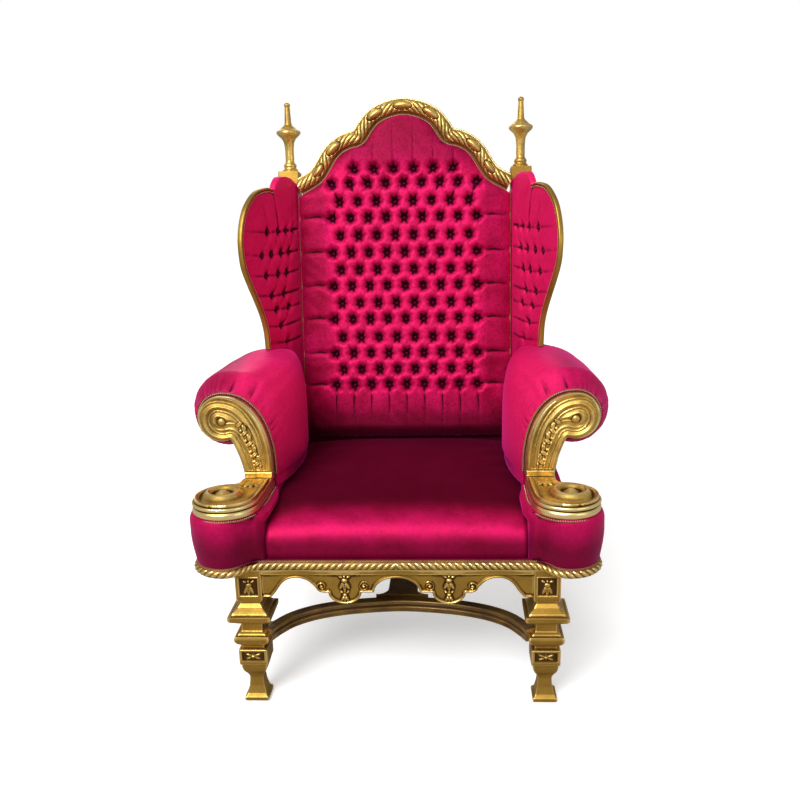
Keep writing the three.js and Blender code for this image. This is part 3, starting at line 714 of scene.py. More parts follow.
def back_shade(x, y, z):
    """Painted shade low down, under the crest and along the sides, and painted light over the buttoned
    middle.
    """
    low = 0.8 * (1 - step_up(z, 0.64, 0.79)) + 0.17 * (1 - step_up(z, 0.62, 0.66))
    sides = 0.3 * step_up(x, 0.262, 0.30) * step_up(z, 0.79, 0.82)
    middle = 0.4 * (1 - step_up(x, 0.25, 0.275)) * step_up(z, 0.80, 0.84) * (1 - step_up(z, 1.52, 1.58))
    return low + 0.5 * step_up(z, 1.55, 1.62) + sides - middle


x, v, u = back_skin()
front = on_back(x, v, u)
back = on_back(x, v, np.full_like(x, 0.010))
pad = make_piece("back_cushion", [plate(front, back, keep=20)], velvet_crushed, ["back_pad"], crease=0,
                 reach=0.0042, passes=15, shade=back_shade)

# %% [markdown]
# Each button is a small dome sunk at the bottom of its well, covered in a darker copy of the velvet that
# is painted shade. It is far too small for folds of its own, so the nails' dome serves again, flattened and
# tilted with the back.

# %% Covered buttons
def buttons_at(spots, tilt, radius=0.0060, height=0.0022):
    """Low velvet-covered domes at points already in the frame, tipped about x by tilt, as one part."""
    turn = np.array(Matrix.Rotation(tilt, 3, "X"))
    return scattered(dome(radius, height) @ turn.T, spots)


spots = np.array(back_buttons)
back_spots = on_back(spots[:, 0], spots[:, 1], -0.0078 - 0.0062 * thinned(spots[:, 1]))
make_piece("back_buttons", [buttons_at(back_spots, math.radians(90) - RAKE)], velvet_button_painted_shade, crease=0)
print(len(back_buttons), "buttons on the back")

# %% [markdown]
# The seat is sprung and tightly covered. Its side view is one closed outline: upright front, a full roll
# over the front edge, a long crown and a drop at the back. It is carried from arm to arm and pulled down
# a little where it meets them. Shallow pulls run from the front corners. A cloth simulation would puff
# it up too, but a drawn side view keeps the front roll exactly as high as it is in the photograph.

# %% Seat
SEAT_HALF, SEAT_BOTTOM = 0.3765, 0.458
SEAT_TOP = [(-0.024, 0.460), (-0.0325, 0.482), (-0.0335, 0.512), (-0.026, 0.540), (-0.006, 0.5635),
            (0.030, 0.578), (0.090, 0.589), (0.200, 0.601), (0.380, 0.612), (0.560, 0.612), (0.700, 0.604),
            (0.749, 0.588)]
SEAT_OVER, SEAT_UNDER, SEAT_ACROSS = 176, 22, 104


def seat_cover():
    """The seat's closed side view carried across, its crown lowered by the fourth power of x."""
    over = spaced(through(SEAT_TOP, 400), count=SEAT_OVER)
    under = spaced([SEAT_TOP[-1], (SEAT_TOP[-1][0], SEAT_BOTTOM), SEAT_TOP[0]], count=SEAT_UNDER)[1:-1]
    line = np.concatenate([over, under])
    share = np.sin(np.linspace(-1, 1, SEAT_ACROSS)[:, None] * math.pi / 2)
    x = SEAT_HALF * share
    y, z = line[None, :, 0], line[None, :, 1]
    rise = np.clip((z - 0.5) / 0.112, 0, 1)
    edge = 1 - (1 - np.clip((1 - np.abs(share)) / 0.035, 0, 1)) ** 2
    z = z - rise * (0.019 * share**4 + 0.012 * (1 - edge))
    sag = np.exp(-((x / 0.26) ** 2) - ((y - 0.42) / 0.2) ** 2)
    pulls = np.sin(x * 38 + 3 * np.sin(y * 21)) * np.exp(-(((y - 0.03) / 0.09) ** 2))
    cross = np.sin((y * 60) + 4 * np.sin(x * 7)) * np.exp(-((np.abs(x) - 0.33) / 0.09) ** 2)
    z = z - rise * (0.004 * sag + 0.0011 * pulls + 0.0012 * cross)
    front = 1 - step_up(y, -0.02, 0.02)
    y = y - 0.0012 * front * np.sin(x * 44) * rise + 0.010 * front * (1 - edge)
    return place(np.broadcast_to(x, z.shape), np.broadcast_to(y, z.shape), z)


def seat_shade(x, y, z):
    """Painted shade: a little everywhere, strong over the crown behind the front roll, and on the low front.
    """
    return 0.08 + 0.85 * step_up(y, -0.035, 0.12) + 0.6 * (1 - step_up(z, 0.50, 0.55))


seat = make_piece("seat_cover", [tube(seat_cover())], velvet_seat, ["seat"], crease=0, reach=0.004, passes=20,
                  shade=seat_shade)

# %% [markdown]
# An arm is a roll of padding behind a carved facing. Its outline in the front view is a tall shoulder, a
# round head and a hollow waist. Behind the facing it swells in a few centimetres, which gathers the
# velvet into short pleats along the nails, and further back the shoulder rises towards the wing. A row
# of outlines suits that, because the outline changes along the arm while its points keep their order.

# %% Arm outline
SHOULDER_Z, HEAD_X, HEAD_Z = 0.660, 0.5325, 0.828
INNER_X, THROAT_X = 0.471, 0.505
SCROLL_BACK = 0.188


def arm_outline(inner, power, top, rise, outer, radius, waist, low):
    """Inner foot, rising quarter, oval crown, round underside and waist, as (rows, points, 2)."""
    given = (inner, power, top, rise, outer, radius, waist)
    inner, power, top, rise, outer, radius, waist = (
        np.atleast_1d(np.asarray(value, float))[:, None] for value in given)
    zero = 0 * inner * power * top * rise * outer * radius * waist
    foot = np.linspace(low, SHOULDER_Z, 9)[None, :-1]
    angle = np.linspace(0, math.pi / 2, 42)[None]
    rising_x = top - (top - inner) * np.maximum(0, np.cos(angle)) ** power
    rising_z = SHOULDER_Z + rise * np.sin(angle) ** power
    angle = np.radians(np.linspace(90, 0, 31))[None, 1:]
    over_x = top + (outer - top) * np.cos(angle)
    over_z = HEAD_Z + (SHOULDER_Z + rise - HEAD_Z) * np.sin(angle)
    angle = np.radians(np.linspace(0, -113, 34))[None, 1:]
    under_x = HEAD_X + (outer - HEAD_X) * np.cos(angle)
    under_z = HEAD_Z + radius * np.sin(angle)
    drop = np.linspace(1, 0, 24)[None, 1:]
    tip_x, tip_z = under_x[:, -1:], under_z[:, -1:]
    hollow_x = INNER_X + waist + (np.minimum(THROAT_X, tip_x) - INNER_X - waist) * drop**1.6
    hollow_z = low + (tip_z - low) * drop
    xs = [inner + 0 * foot, rising_x, over_x, under_x, hollow_x]
    zs = [foot, rising_z, over_z, under_z, hollow_z]
    return np.stack([np.concatenate([part + zero for part in group], axis=1) for group in (xs, zs)], axis=-1)


def post_face(z):
    """Depth of the back posts' front face at height z, above the knee."""
    return CREASE_Y + 0.013 / math.cos(RAKE) + (z - CREASE_Z) * math.tan(RAKE)


ARM_RUN = [0, 0.16, 0.45, 0.65, 1]
ARM_TOP_X, ARM_RISE = [0.5325, 0.530, 0.500, 0.476, 0.470], [0.246, 0.292, 0.299, 0.302, 0.272]
ARM_OUTER = [0.612, 0.646, 0.642, 0.632, 0.620]
ARM_INNER, ARM_BELLY, ARM_LOW, ARM_FOOT_TOP, GATHERED = 0.380, 0.048, 0.607, 0.6464, 0.2


def eased(t, values):
    """Values at the arm's set places, joined by even S curves."""
    t = np.asarray(t, float)
    out = np.full(t.shape, float(values[0]))
    for start, end, a, b in zip(ARM_RUN, ARM_RUN[1:], values, values[1:]):
        share = np.clip((t - start) / (end - start), 0, 1)
        out = out + (b - a) * (0.4 * share + 0.6 * step_up(share, 0, 1))
    return out


def arm_inner(t):
    """How far out the arm's inner side stands at t: it bellies over the seat and ends at the seam."""
    return ARM_INNER - ARM_BELLY * np.abs(np.sin(math.pi * np.clip(t / 0.9, 0, 1))) ** 0.8 - 0.003 * (1 - t)


def arm_power(t):
    """Power of cosine and sine in the rising quarter at t: under 1, and squarer towards the back."""
    return 0.87 - 0.37 * step_up(t, 0, 0.45)


def skin_normals(points):
    """Unit vectors square to a grid of points, from the cross product of its two directions."""
    return unit(np.cross(np.gradient(points, axis=0), np.gradient(points, axis=1)))


# %% Arm covers
def arm_cover():
    """Outlines from the facing to the post, swelled along their normals by gathers that die away."""
    t = np.concatenate([np.linspace(0, GATHERED, 70), np.linspace(GATHERED, 1, 48)[1:]])
    full = np.sin(math.pi / 2 * np.clip(t / ARM_RUN[1], 0, 1))
    line = arm_outline(
        inner=arm_inner(t), power=arm_power(t), top=eased(t, ARM_TOP_X), rise=eased(t, ARM_RISE),
        outer=eased(t, ARM_OUTER), radius=0.0785 + 0.031 * full, waist=0.018 * step_up(t, 0, 0.3),
        low=ARM_LOW)
    x, z = line[..., 0], line[..., 1]
    x = x + np.where(z < ARM_FOOT_TOP, 0.15 * np.maximum(0, 0.382 - x), 0)
    y = SCROLL_BACK + 0.0006 + (post_face(z) - 0.0006 - SCROLL_BACK) * t[:, None]
    points = place(x, y, z)
    around = run_along(line[0])[None]
    fade = np.exp(-t / 0.085)[:, None] * step_up(t, -0.004, 0.012)[:, None]
    gathers = np.sin(around * 330 + 3 * np.sin(around * 61))
    gathers = gathers + 0.6 * np.sin(around * 201 + 5 * np.sin(around * 37))
    shoulder = ridge(around - 0.36, 0.16) + 0.55
    pulls = np.sin(around * 74 + 3 * np.sin(around * 23)) * ridge(around - 0.3, 0.17)
    long = np.exp(-t / 0.3)[:, None] * pulls * step_up(t, 0, 0.06)[:, None]
    puff = 0.0019 * fade * gathers * shoulder + 0.0022 * long
    normal = skin_normals(points)
    middle = points.mean(axis=1, keepdims=True)
    turned = np.sign((normal * (points - middle)).sum(axis=-1).mean())
    return points + turned * normal * puff[..., None]


def arm_shade(x, y, z):
    """Painted light on the inner shoulder; painted shade low down inside, far back inside and along the outer
    top.
    """
    inside = 1 - step_up(x, 0.42, 0.5)
    shoulder = (1 - step_up(x, 0.47, 0.53)) * step_up(z, 0.62, 0.72) * (1 - 0.7 * step_up(y, 0.34, 0.62))
    top = 0.22 * step_up(z, 0.84, 0.90) * step_up(x, 0.47, 0.53)
    return (0.9 * (1 - step_up(z, 0.60, 0.72)) * inside * step_up(y, 0.20, 0.36)
            + 0.25 * step_up(y, 0.5, 0.7) * inside + top - shoulder)


arms = make_pair("arm_cover", [ladder_tube(arm_cover())], velvet, ["arm"], crease=0, reach=0.004, passes=20,
                 shade=arm_shade)

# %% [markdown]
# Under each arm stands a padded base. In front it swells into a drum under the flat volute, and behind
# that it runs back as the side of the chair. Its plan is the board's edge pulled in, and it bulges a
# little between its tight top and bottom. So the plan is stacked in rings, and half a sine pushes them out.

# %% Arm bases
BOARD_FRONT, DRUM_X, DRUM_Y, DRUM_RADIUS, SIDE_X, BOARD_BACK = -0.048, 0.490, -0.009, 0.097, 0.507, 0.749
BASE_INNER, BASE_LOW, BASE_TOP = 0.3774, 0.4574, 0.6066


def board_edge(inset):
    """Plan of the board's right edge from the front neck, round the drum, to the straight side."""
    front, radius, side = BOARD_FRONT + inset, DRUM_RADIUS - inset, SIDE_X - inset
    drum = arc(DRUM_X, DRUM_Y, radius, radius, -102, 48, 60)
    neck = bezier([0.398 - inset, front], [0.436, front], drum[0] + (-0.036, 0.008), drum[0], 20)
    waist = bezier(drum[-1], drum[-1] + (-0.034, 0.030), [side, 0.112], [side, 0.162], 20)
    return np.concatenate([neck, drum[1:], waist[1:]])


def half_board(inset, short):
    """Plan of the board's right half, from the middle of the front to short of its back end."""
    start, end = (0.0, BOARD_FRONT + inset), (SIDE_X - inset, BOARD_BACK - short)
    return np.concatenate([[start], board_edge(inset), [end]])


def base_cover():
    """Plan rings from bottom to top, pushed out by a half sine; the inner side swells over the seat."""
    outer = spaced(np.concatenate([board_edge(0.007), [[SIDE_X - 0.007, BOARD_BACK]]]), count=170)
    inner = spaced([(BASE_INNER, BOARD_BACK), (BASE_INNER, BOARD_FRONT + 0.012)], count=150)
    lip = bezier(inner[-1], inner[-1] + (0, -0.004), outer[0] + (-0.006, 0), outer[0], 5)[1:-1]
    plan = softened(np.concatenate([inner, lip, outer]), passes=10)
    out = away(plan)
    up = np.linspace(0, 1, 28)[:, None]
    z = BASE_LOW + (BASE_TOP - BASE_LOW) * up
    swell = np.sin(math.pi * up) ** 0.7
    x, y = plan[None, :, 0], plan[None, :, 1]
    outside = step_up(x, BASE_INNER + 0.002, BASE_INNER + 0.024)
    over_seat = step_up(z, 0.566, 0.59) * (1 - step_up(z, 0.6, BASE_TOP)) * (1 - step_up(y, 0.10, 0.22))
    dimple = 0.0009 * np.sin(run_along(plan)[None] * 47 + 3 * np.sin(up * 4)) * swell
    rounded = -0.003 * (ridge(up, 0.05) + ridge(1 - up, 0.05))
    inner_swell = 0.016 * over_seat * step_up(y, -0.05, 0.0)
    flare = 0.0085 * step_up(up, 0.05, 0.95) * (1 - step_up(y, 0.09, 0.15))
    amount = (1 - outside) * inner_swell + outside * (0.0058 * swell + dimple + rounded + flare)
    return place(x + out[None, :, 0] * amount, y + out[None, :, 1] * amount, z)


# Painted shade on the base covers, stronger low down on the drums.
bases = make_pair("arm_base_cover", [ladder_tube(base_cover())], velvet, ["arm_base"], crease=50, reach=0.004,
                  passes=20, shade=lambda x, y, z: 0.27 + 0.5 * (1 - step_up(z, 0.50, 0.60)))

# %% [markdown]
# A wing is a thin board padded on its inner face, with two lobes along its top. Its face is a grid
# between the seam at the back and the free edge; its foot follows the arm's rising shoulder. The tufting
# uses the same wells and creases as the back, shallower towards the thin edge. Both faces are one grid of
# points at two depths, so the rim between them comes out even.

# %% Wings
WING_LOBES = [(0.010, 1.521), (0.048, 1.541), (0.098, 1.549), (0.150, 1.544), (0.182, 1.519),
              (0.193, 1.500), (0.207, 1.499), (0.238, 1.502), (0.305, 1.490), (0.362, 1.449), (0.392, 1.401)]
WING_FRONT = [(0.407, 1.342), (0.405, 1.290), (0.394, 1.245), (0.364, 1.192), (0.327, 1.136),
              (0.295, 1.083), (0.274, 1.030), (0.266, 0.976), (0.262, 0.930)]
WING_EDGE_WIDE, WING_THICK, WING_RIM, WING_DRAW = 0.0086, 0.040, 0.015, 0.025
SEAM_S, STRIP_FROM, WING_ROWS, WING_COLUMNS = 0.0012, 0.172, 136, 96


def wing_line(inset):
    """The wing's free outline from the top of the seam to the front foot, moved inwards by inset."""
    line = through(WING_LOBES + WING_FRONT, 700)
    side = -sideways(line)
    s = line[:, 0] - WING_DRAW * np.minimum(1, line[:, 0] / 0.150)
    return np.stack([s + side[:, 0] * inset, line[:, 1] + side[:, 1] * inset], axis=-1)


def arm_height(s):
    """Height of the arm's rising shoulder under the wing's face at s."""
    x = WING_SEAM + s * math.sin(WING_FLARE)
    z = np.full_like(s, 0.85)
    for _ in range(4):
        y = CREASE_Y + (z - CREASE_Z) * math.tan(RAKE) - s * math.cos(WING_FLARE)
        t = np.clip((y - SCROLL_BACK) / (post_face(z) - SCROLL_BACK), 0, 1)
        top, inner, rise = eased(t, ARM_TOP_X), arm_inner(t), eased(t, ARM_RISE)
        power = arm_power(t)
        cosine = np.clip((top - x) / (top - inner), 0, 1) ** (1 / power)
        z = SHOULDER_Z + rise * np.sqrt(np.maximum(0, 1 - cosine**2)) ** power
    return z + 0.001


def wing_thickness(s):
    """Thickness at s, from the padded seam down to the thin rim."""
    return WING_THICK + (WING_RIM - WING_THICK) * np.minimum(1, s / 0.33)


def tuft_strength(s):
    """Share of the full tufting at s, less where the wing is thin."""
    return np.clip(wing_thickness(s) / 0.034, 0.35, 1)


def wing_grid(rows, columns):
    """Rows that fan out from the seam to the free edge, lifted at the foot to follow the arm."""
    edge = wing_line(WING_EDGE_WIDE + 0.001)[::-1]
    edge = edge[edge[:, 0] > 0.003]
    keep = edge[:, 1] >= arm_height(edge[:1, 0])[0] - 0.002
    edge = spaced(edge[np.argmax(keep):], count=rows)
    seam_z = np.linspace(arm_height(np.array([SEAM_S]))[0], edge[-1, 1], rows)
    seam = np.stack([np.full(rows, SEAM_S), seam_z], axis=-1)
    c = np.linspace(0, 1, columns)[None, :, None]
    flat = seam[:, None] * (1 - c) + edge[:, None] * c
    lift = arm_height(flat[0, :, 0]) - flat[0, :, 1]
    flat[..., 1] += lift[None] * (1 - np.linspace(0, 1, rows)[:, None]) ** 5
    return flat[..., 0], flat[..., 1]


# %% Wing tufts and covers
WING_TUFTS = {1.355: [0.215, 0.142, 0.087, 0.038], 1.28: [0.255, 0.193, 0.127, 0.071],
              1.21: [0.232, 0.152, 0.092], 1.14: [0.198, 0.116], 1.09: [0.172, 0.086], 1.03: [0.142],
              0.97: [0.104]}
wing_tufts = [(s, z) for z, row in WING_TUFTS.items() for s in row]
LOBE_PLEATS = [((0.142, 1.365), (0.176, 1.50), 0.007, (0.6, 1.0), 0.5, 0.9),
               ((0.038, 1.365), (0.045, 1.50), 0.006, (1.0, 0.3), 0.4, 0.6),
               ((0.215, 1.365), (0.245, 1.47), 0.006, (1.0, 0.3), 0.4, 0.6)]


def wing_folds(s, z):
    """The deepest crease at each point: diagonals and levels between tufts, and pleats to the edges."""
    folds = np.zeros_like(s)
    for a, b in paired(wing_tufts, 0.095, 0.03):
        folds = np.maximum(folds, crease(s, z, a, b, 0.0045, (0.8, 0.8), middle=0.12))
    for height, row in WING_TUFTS.items():
        for a, b in zip(row[:-1], row[1:]):
            folds = np.maximum(folds, crease(s, z, (a, height), (b, height), 0.0075, middle=0.55))
        edge_s = s[:, -1][np.argmin(np.abs(z[:, -1] - height) + (s[:, -1] < 0.2))]
        to_edge = crease(s, z, (row[0], height), (edge_s, height + 0.012), 0.006, (1.0, 0.5), 0.6)
        to_seam = crease(s, z, (row[-1], height), (0.0, height + 0.006), 0.005, (1.0, 0.5), 0.55)
        folds = np.maximum(folds, np.maximum(to_edge, to_seam))
    for start, end, width, ends, middle, depth in LOBE_PLEATS:
        folds = np.maximum(folds, depth * crease(s, z, start, end, width, ends, middle))
    return folds


def wing_cover():
    """Padded inner face and plain outer face of the right wing."""
    s, z = wing_grid(WING_ROWS, WING_COLUMNS)
    share = np.linspace(0, 1, WING_COLUMNS)[None]
    wells = button_wells(s, z, wing_tufts, 0.0155, 0.020)
    thick = wing_thickness(s)
    soft = np.sin(math.pi * np.clip(share, 0, 1)) ** 0.35
    level = (0.0135 * (1 - wells) + 0.0055 * wing_folds(s, z)) * tuft_strength(s)
    level = level * step_up(share, 0, 0.05) * (1 - step_up(share, 0.95, 1))
    slack = 0.0012 * np.sin(z * 70 + 4 * np.sin(s * 19)) * np.sin(s * 31) * soft
    face = np.minimum(0.006 * step_up(share, 0, 0.03) - 0.0065 * soft + level + slack, thick - 0.004)
    outer = thick * (0.9 + 0.1 * soft)
    return slab(on_wing(s, z, face), on_wing(s, z, outer))


# The wings are painted light above the arms.
wings = make_pair("wing_cover", [wing_cover()], velvet, ["wing"], crease=60, reach=0.0045, passes=12,
                  shade=lambda x, y, z: -0.75 * step_up(z, 0.92, 1.05))
tufts = np.array(wing_tufts)
wing_spots = on_wing(tufts[:, 0], tufts[:, 1], 0.0125 * tuft_strength(tufts[:, 0]))
make_pair("wing_buttons", [buttons_at(wing_spots, math.radians(90), 0.007, 0.0035)], velvet_button_painted_shade, crease=0)

# %% [markdown]
# The outside of the back isn't seen in the photograph. Such thrones close it with one tight, plain panel
# that is nailed round its edge, so that is what it gets here.

# %% Outside back
PANEL_FOOT, PANEL_ROWS, PANEL_COLUMNS = -0.150, 90, 44


def outside_back():
    """A thin panel over the back's outline, swelled outwards by a low dome."""
    v = np.linspace(PANEL_FOOT, PAD_TOP - 0.001, PANEL_ROWS)[:, None]
    share = np.linspace(-1, 1, PANEL_COLUMNS)[None]
    half = np.maximum(pad_half(v) - 0.0006, NARROWEST)
    x = share * half
    dome_up = (1 - share**6) * np.sin(math.pi * np.clip((v - PANEL_FOOT) / 1.3, 0, 1)) ** 0.4
    outer = 0.050 + 0.008 * dome_up + 0.0008 * np.sin(v * 23 + 2 * np.sin(x * 9)) * dome_up
    return slab(on_back(x, v, np.full_like(x, 0.0125)), on_back(x, v, outer))


def panel_shade(x, y, z):
    """Painted shade on the panel's inner face low down, where it shows behind the seat."""
    return 0.95 * (1 - step_up(z, 0.64, 0.70)) * (y < CREASE_Y + 0.030)


panel = make_piece("outside_back_cover", [outside_back()], velvet, ["back_panel"], crease=60, reach=0.004,
                   passes=12, shade=panel_shade)

# %% [markdown]
# The carved pieces are boards with relief: every point keeps its place on the board and is raised by a
# sum of simple shapes. A petal is half an egg with a groove, a scroll is a ridge along a spiral, and a
# bead is a ridge at a set distance from the board's edge. Sculpting would give freer leaves, but no one
# could change a size afterwards.

# %% Ornament shapes
def petal(x, z, at, long, wide, lean=0.0, groove=0.35):
    """Half an egg, long and wide, leaned by degrees from upright, with a soft groove along it."""
    a = math.radians(lean)
    along = (x - at[0]) * math.sin(a) + (z - at[1]) * math.cos(a)
    across = (x - at[0]) * math.cos(a) - (z - at[1]) * math.sin(a)
    body = np.sqrt(np.clip(1 - (along / long) ** 2 - (across / wide) ** 2, 0, 1))
    return body * (1 - groove * ridge(across, 0.25 * wide))


def highest(*shapes):
    """The greatest of several heights at each point."""
    out = shapes[0]
    for shape in shapes[1:]:
        out = np.maximum(out, shape)
    return out


def bellflower(x, z, at, size):
    """A hanging flower: a small bud, a cup with two curls, and three drooping petals."""
    cx, cz = at
    return highest(
        petal(x, z, (cx, cz - 0.28 * size), 0.26 * size, 0.10 * size),
        petal(x, z, (cx - 0.15 * size, cz - 0.22 * size), 0.25 * size, 0.09 * size, 26),
        petal(x, z, (cx + 0.15 * size, cz - 0.22 * size), 0.25 * size, 0.09 * size, -26),
        0.9 * petal(x, z, (cx, cz + 0.06 * size), 0.13 * size, 0.17 * size, groove=0.0),
        0.8 * petal(x, z, (cx, cz + 0.28 * size), 0.08 * size, 0.07 * size, groove=0.0),
        0.7 * petal(x, z, (cx - 0.20 * size, cz + 0.26 * size), 0.07 * size, 0.13 * size, 24, 0.0),
        0.7 * petal(x, z, (cx + 0.20 * size, cz + 0.26 * size), 0.07 * size, 0.13 * size, -24, 0.0))


def rosette(x, z, at, wide, tall):
    """A boss with four leaves to the corners and four short ones between."""
    a, b = (x - at[0]) / wide, (z - at[1]) / tall
    out = petal(a, b, (0, 0), 0.24, 0.24, groove=0.0)
    corner_leaves = ((50, 130, 230, 310), 0.9, 0.52, 0.42, 0.17)
    short_leaves = ((0, 90, 180, 270), 0.6, 0.4, 0.24, 0.12)
    for leans, height, far, long, broad in (corner_leaves, short_leaves):
        for lean in leans:
            at = (far * math.sin(math.radians(lean)), far * math.cos(math.radians(lean)))
            out = np.maximum(out, height * petal(a, b, at, long, broad, lean))
    return out


def curl(x, z, at, radius, turn):
    """A small scroll: a ridge that winds out from a round eye, turning with the sign of turn."""
    dx, dz = x - at[0], z - at[1]
    r = np.hypot(dx, dz)
    pitch = radius / 1.7
    share = np.mod(r / pitch - turn * np.arctan2(dz, dx) / math.tau, 1)
    inside = 1 - step_up(r, radius * 0.92, radius * 1.05)
    eye = petal(x, z, at, 0.3 * radius, 0.3 * radius, groove=0)
    return highest(ridge(share - 0.5, 0.22) * inside, 1.15 * eye)


def window(x, z, half, low, high, soft=0.0012):
    """1 inside a rectangle, 0 outside, with a short slope between."""
    across = 1 - step_up(np.abs(x), half - soft, half + soft)
    return across * step_up(z, low - soft, low + soft) * (1 - step_up(z, high - soft, high + soft))


# %% [markdown]
# The front legs are square in plan, with a turned leg's outline: plinth, ankle, rosette block, two spread
# drums and a top block. So the outline is a profile of half widths by height, carried round a square,
# where Blender's Screw modifier would only make it round. The front face has two sunk panels, one with a
# bellflower and one with a rosette.

# %% Front legs
LEG_X, LEG_TOP, BLOCK_HALF, ROSETTE_HALF = 0.432, 0.431, 0.039, 0.0425
PANEL, FRIEZE = (0.026, 0.350, 0.404), (0.033, 0.138, 0.168)
LEG_FOOT = [(0.0, 0.033), (0.004, 0.036), (0.013, 0.036), (0.018, 0.0305), (0.022, 0.028), (0.028, 0.0265),
            (0.045, 0.0225), (0.064, 0.0205), (0.074, 0.020), (0.081, 0.0218), (0.088, 0.025), (0.100, 0.033),
            (0.112, 0.037), (0.126, 0.038), (0.127, ROSETTE_HALF), (0.175, ROSETTE_HALF)]
LEG_DRUMS = [(0.176, 0.033), (0.187, 0.033), (0.193, 0.042), (0.199, 0.0475), (0.205, 0.051),
             (0.213, 0.0525), (0.221, 0.050), (0.2215, 0.043), (0.227, 0.0395), (0.230, 0.0345),
             (0.234, 0.031), (0.257, 0.031), (0.262, 0.042), (0.268, 0.051), (0.273, 0.0595),
             (0.278, 0.0635), (0.291, 0.064), (0.292, 0.055), (0.299, 0.050), (0.309, 0.038)]
LEG_BLOCK = [(0.321, 0.0295), (0.328, 0.029), (0.330, 0.037), (0.338, 0.039), (LEG_TOP, BLOCK_HALF)]


def front_leg():
    """Half width by height, softened over a millimetre, carried round a square, less the sunk panels."""
    z, half = by_height(LEG_FOOT + LEG_DRUMS + LEG_BLOCK, 350)
    side = np.linspace(-1, 1, 41)[:-1]
    plain = np.array([-1, -0.97, -0.92, -0.6, 0, 0.6, 0.92, 0.97])
    one = np.ones_like(plain)
    unit_x = np.concatenate([side, one, -plain, -one])
    unit_y = np.concatenate([-np.ones_like(side), plain, one, -plain])
    worn = 1 - 0.018 * (np.minimum(np.abs(unit_x), np.abs(unit_y)) ** 24)
    x = half[:, None] * (unit_x * worn)[None]
    y = half[:, None] * (unit_y * worn)[None]
    z = np.broadcast_to(z[:, None], x.shape)
    is_front = (unit_y == -1)[None]
    block, frieze = window(x, z, *PANEL), window(x, z, *FRIEZE)
    flower = bellflower(x, z, (0.0, 0.378), 0.056)
    rose = rosette(x, z, (0.0, 0.153), 0.031, 0.0145)
    sunk = block * (0.005 - 0.0058 * flower) + frieze * (0.004 - 0.0045 * rose)
    upright = ridge(np.abs(x) - 0.0295, 0.0012) * window(x, z, 0.031, 0.346, 0.408)
    level = ridge(np.minimum(np.abs(z - 0.3465), np.abs(z - 0.4075)), 0.0012) * window(x, z, 0.03, 0.34, 0.41)
    y = y + is_front * (sunk - 0.0012 * (upright + level))
    return tube(place(x + LEG_X, y, z))


def leg_ground(x, y, z):
    """Wash left on the sunk grounds of the two panels, which lie deeper than their frames."""
    grown = np.array([0.0005, -0.0005, 0.0005])
    block = window(x - LEG_X, z, *(PANEL + grown)) * step_up(y, -0.0375, -0.0352)
    frieze = window(x - LEG_X, z, *(FRIEZE + grown)) * step_up(y, -0.0415, -0.0395)
    return 0.95 * (block + frieze)


make_pair("carved_leg", [front_leg()], gilt, ["front_leg"], crease=50, reach=0.0024, passes=14,
          shade=leg_ground)

# %% [markdown]
# The apron is one sawn board with three arches and two round pendants. Its grid follows the sawn edge:
# each column stands on a point of the edge and runs up to the top, which leaves the arches cleaner than
# cutting them out of a flat board with a Boolean would. A bead follows the edge and curls into a small
# scroll on each side of a pendant, and a bellflower hangs over each pendant.

# %% Front apron
APRON_FRONT, APRON_BACK, APRON_STEP, APRON_FOOT, ARCH_TOP = -0.034, -0.0065, 0.3585, 0.3435, 0.4045
PENDANT_X, PENDANT_HALF, PENDANT_LOW, APRON_HALF = 0.151, 0.048, 0.323, 0.3926
SIDE_ARCH = [(0.207, 0.3565), (0.227, 0.362), (0.238, 0.377), (0.257, 0.395), (0.277, 0.403), (0.298, 0.4045),
             (0.320, 0.398), (0.336, 0.384), (0.352, 0.361), (0.367, APRON_FOOT)]
CURLS, CURL_Z, CURL_RADIUS = [(0.0945, 1), (0.2175, -1)], 0.3785, 0.0145


def sawn_edge():
    """The right half of the apron's lower edge, from the middle arch to the leg."""
    middle = arc(0, APRON_STEP, 0.066, ARCH_TOP - APRON_STEP, 90, 0, 60)
    pendant = arc(PENDANT_X, APRON_STEP, PENDANT_HALF, APRON_STEP - PENDANT_LOW, 180, 360, 90)
    return np.concatenate([middle, pendant, through(SIDE_ARCH, 160), [(APRON_HALF, APRON_FOOT)]])


def edge_distance(x, z, line):
    """Distance from each grid point to the nearest point of a finely spaced line, in blocks of rows."""
    out = np.empty(x.shape)
    for rows in np.array_split(np.arange(len(x)), max(1, x.size * len(line) // 4_000_000)):
        gap = (x[rows][..., None] - line[:, 0]) ** 2 + (z[rows][..., None] - line[:, 1]) ** 2
        out[rows] = np.sqrt(gap.min(axis=-1))
    return out


def apron():
    """The board's front raised by edge bead, curls, bellflowers and the fillet under the rope."""
    edge = spaced(flip_joined(sawn_edge()), step=0.0018)
    up = np.linspace(0, 1, 52)[:, None] ** 1.25
    x = np.broadcast_to(edge[None, :, 0], (len(up), len(edge)))
    z = edge[None, :, 1] * (1 - up) + LEG_TOP * up
    near = edge_distance(x, z, spaced(edge, step=0.001))
    ax = np.abs(x)
    under_rope = step_up(z, 0.413, 0.4155)
    bead = 0.005 * ridge(near - 0.0042, 0.0034) * (1 - under_rope)
    curls = 0.0065 * highest(*(curl(ax, z, (at, CURL_Z), CURL_RADIUS, turn) for at, turn in CURLS))
    flower = 0.0095 * highest(bellflower(ax, z, (PENDANT_X, 0.394), 0.056),
                              bellflower(ax, z, (PENDANT_X, 0.350), 0.042))
    raised = highest(bead, curls, flower) - 0.0012 * ridge(near - 0.0100, 0.0016)
    front = APRON_FRONT - raised - 0.006 * under_rope
    front, back = place(x, front, z), place(x, np.full_like(x, APRON_BACK), z)
    return plate(front.swapaxes(0, 1), back.swapaxes(0, 1), keep=8)


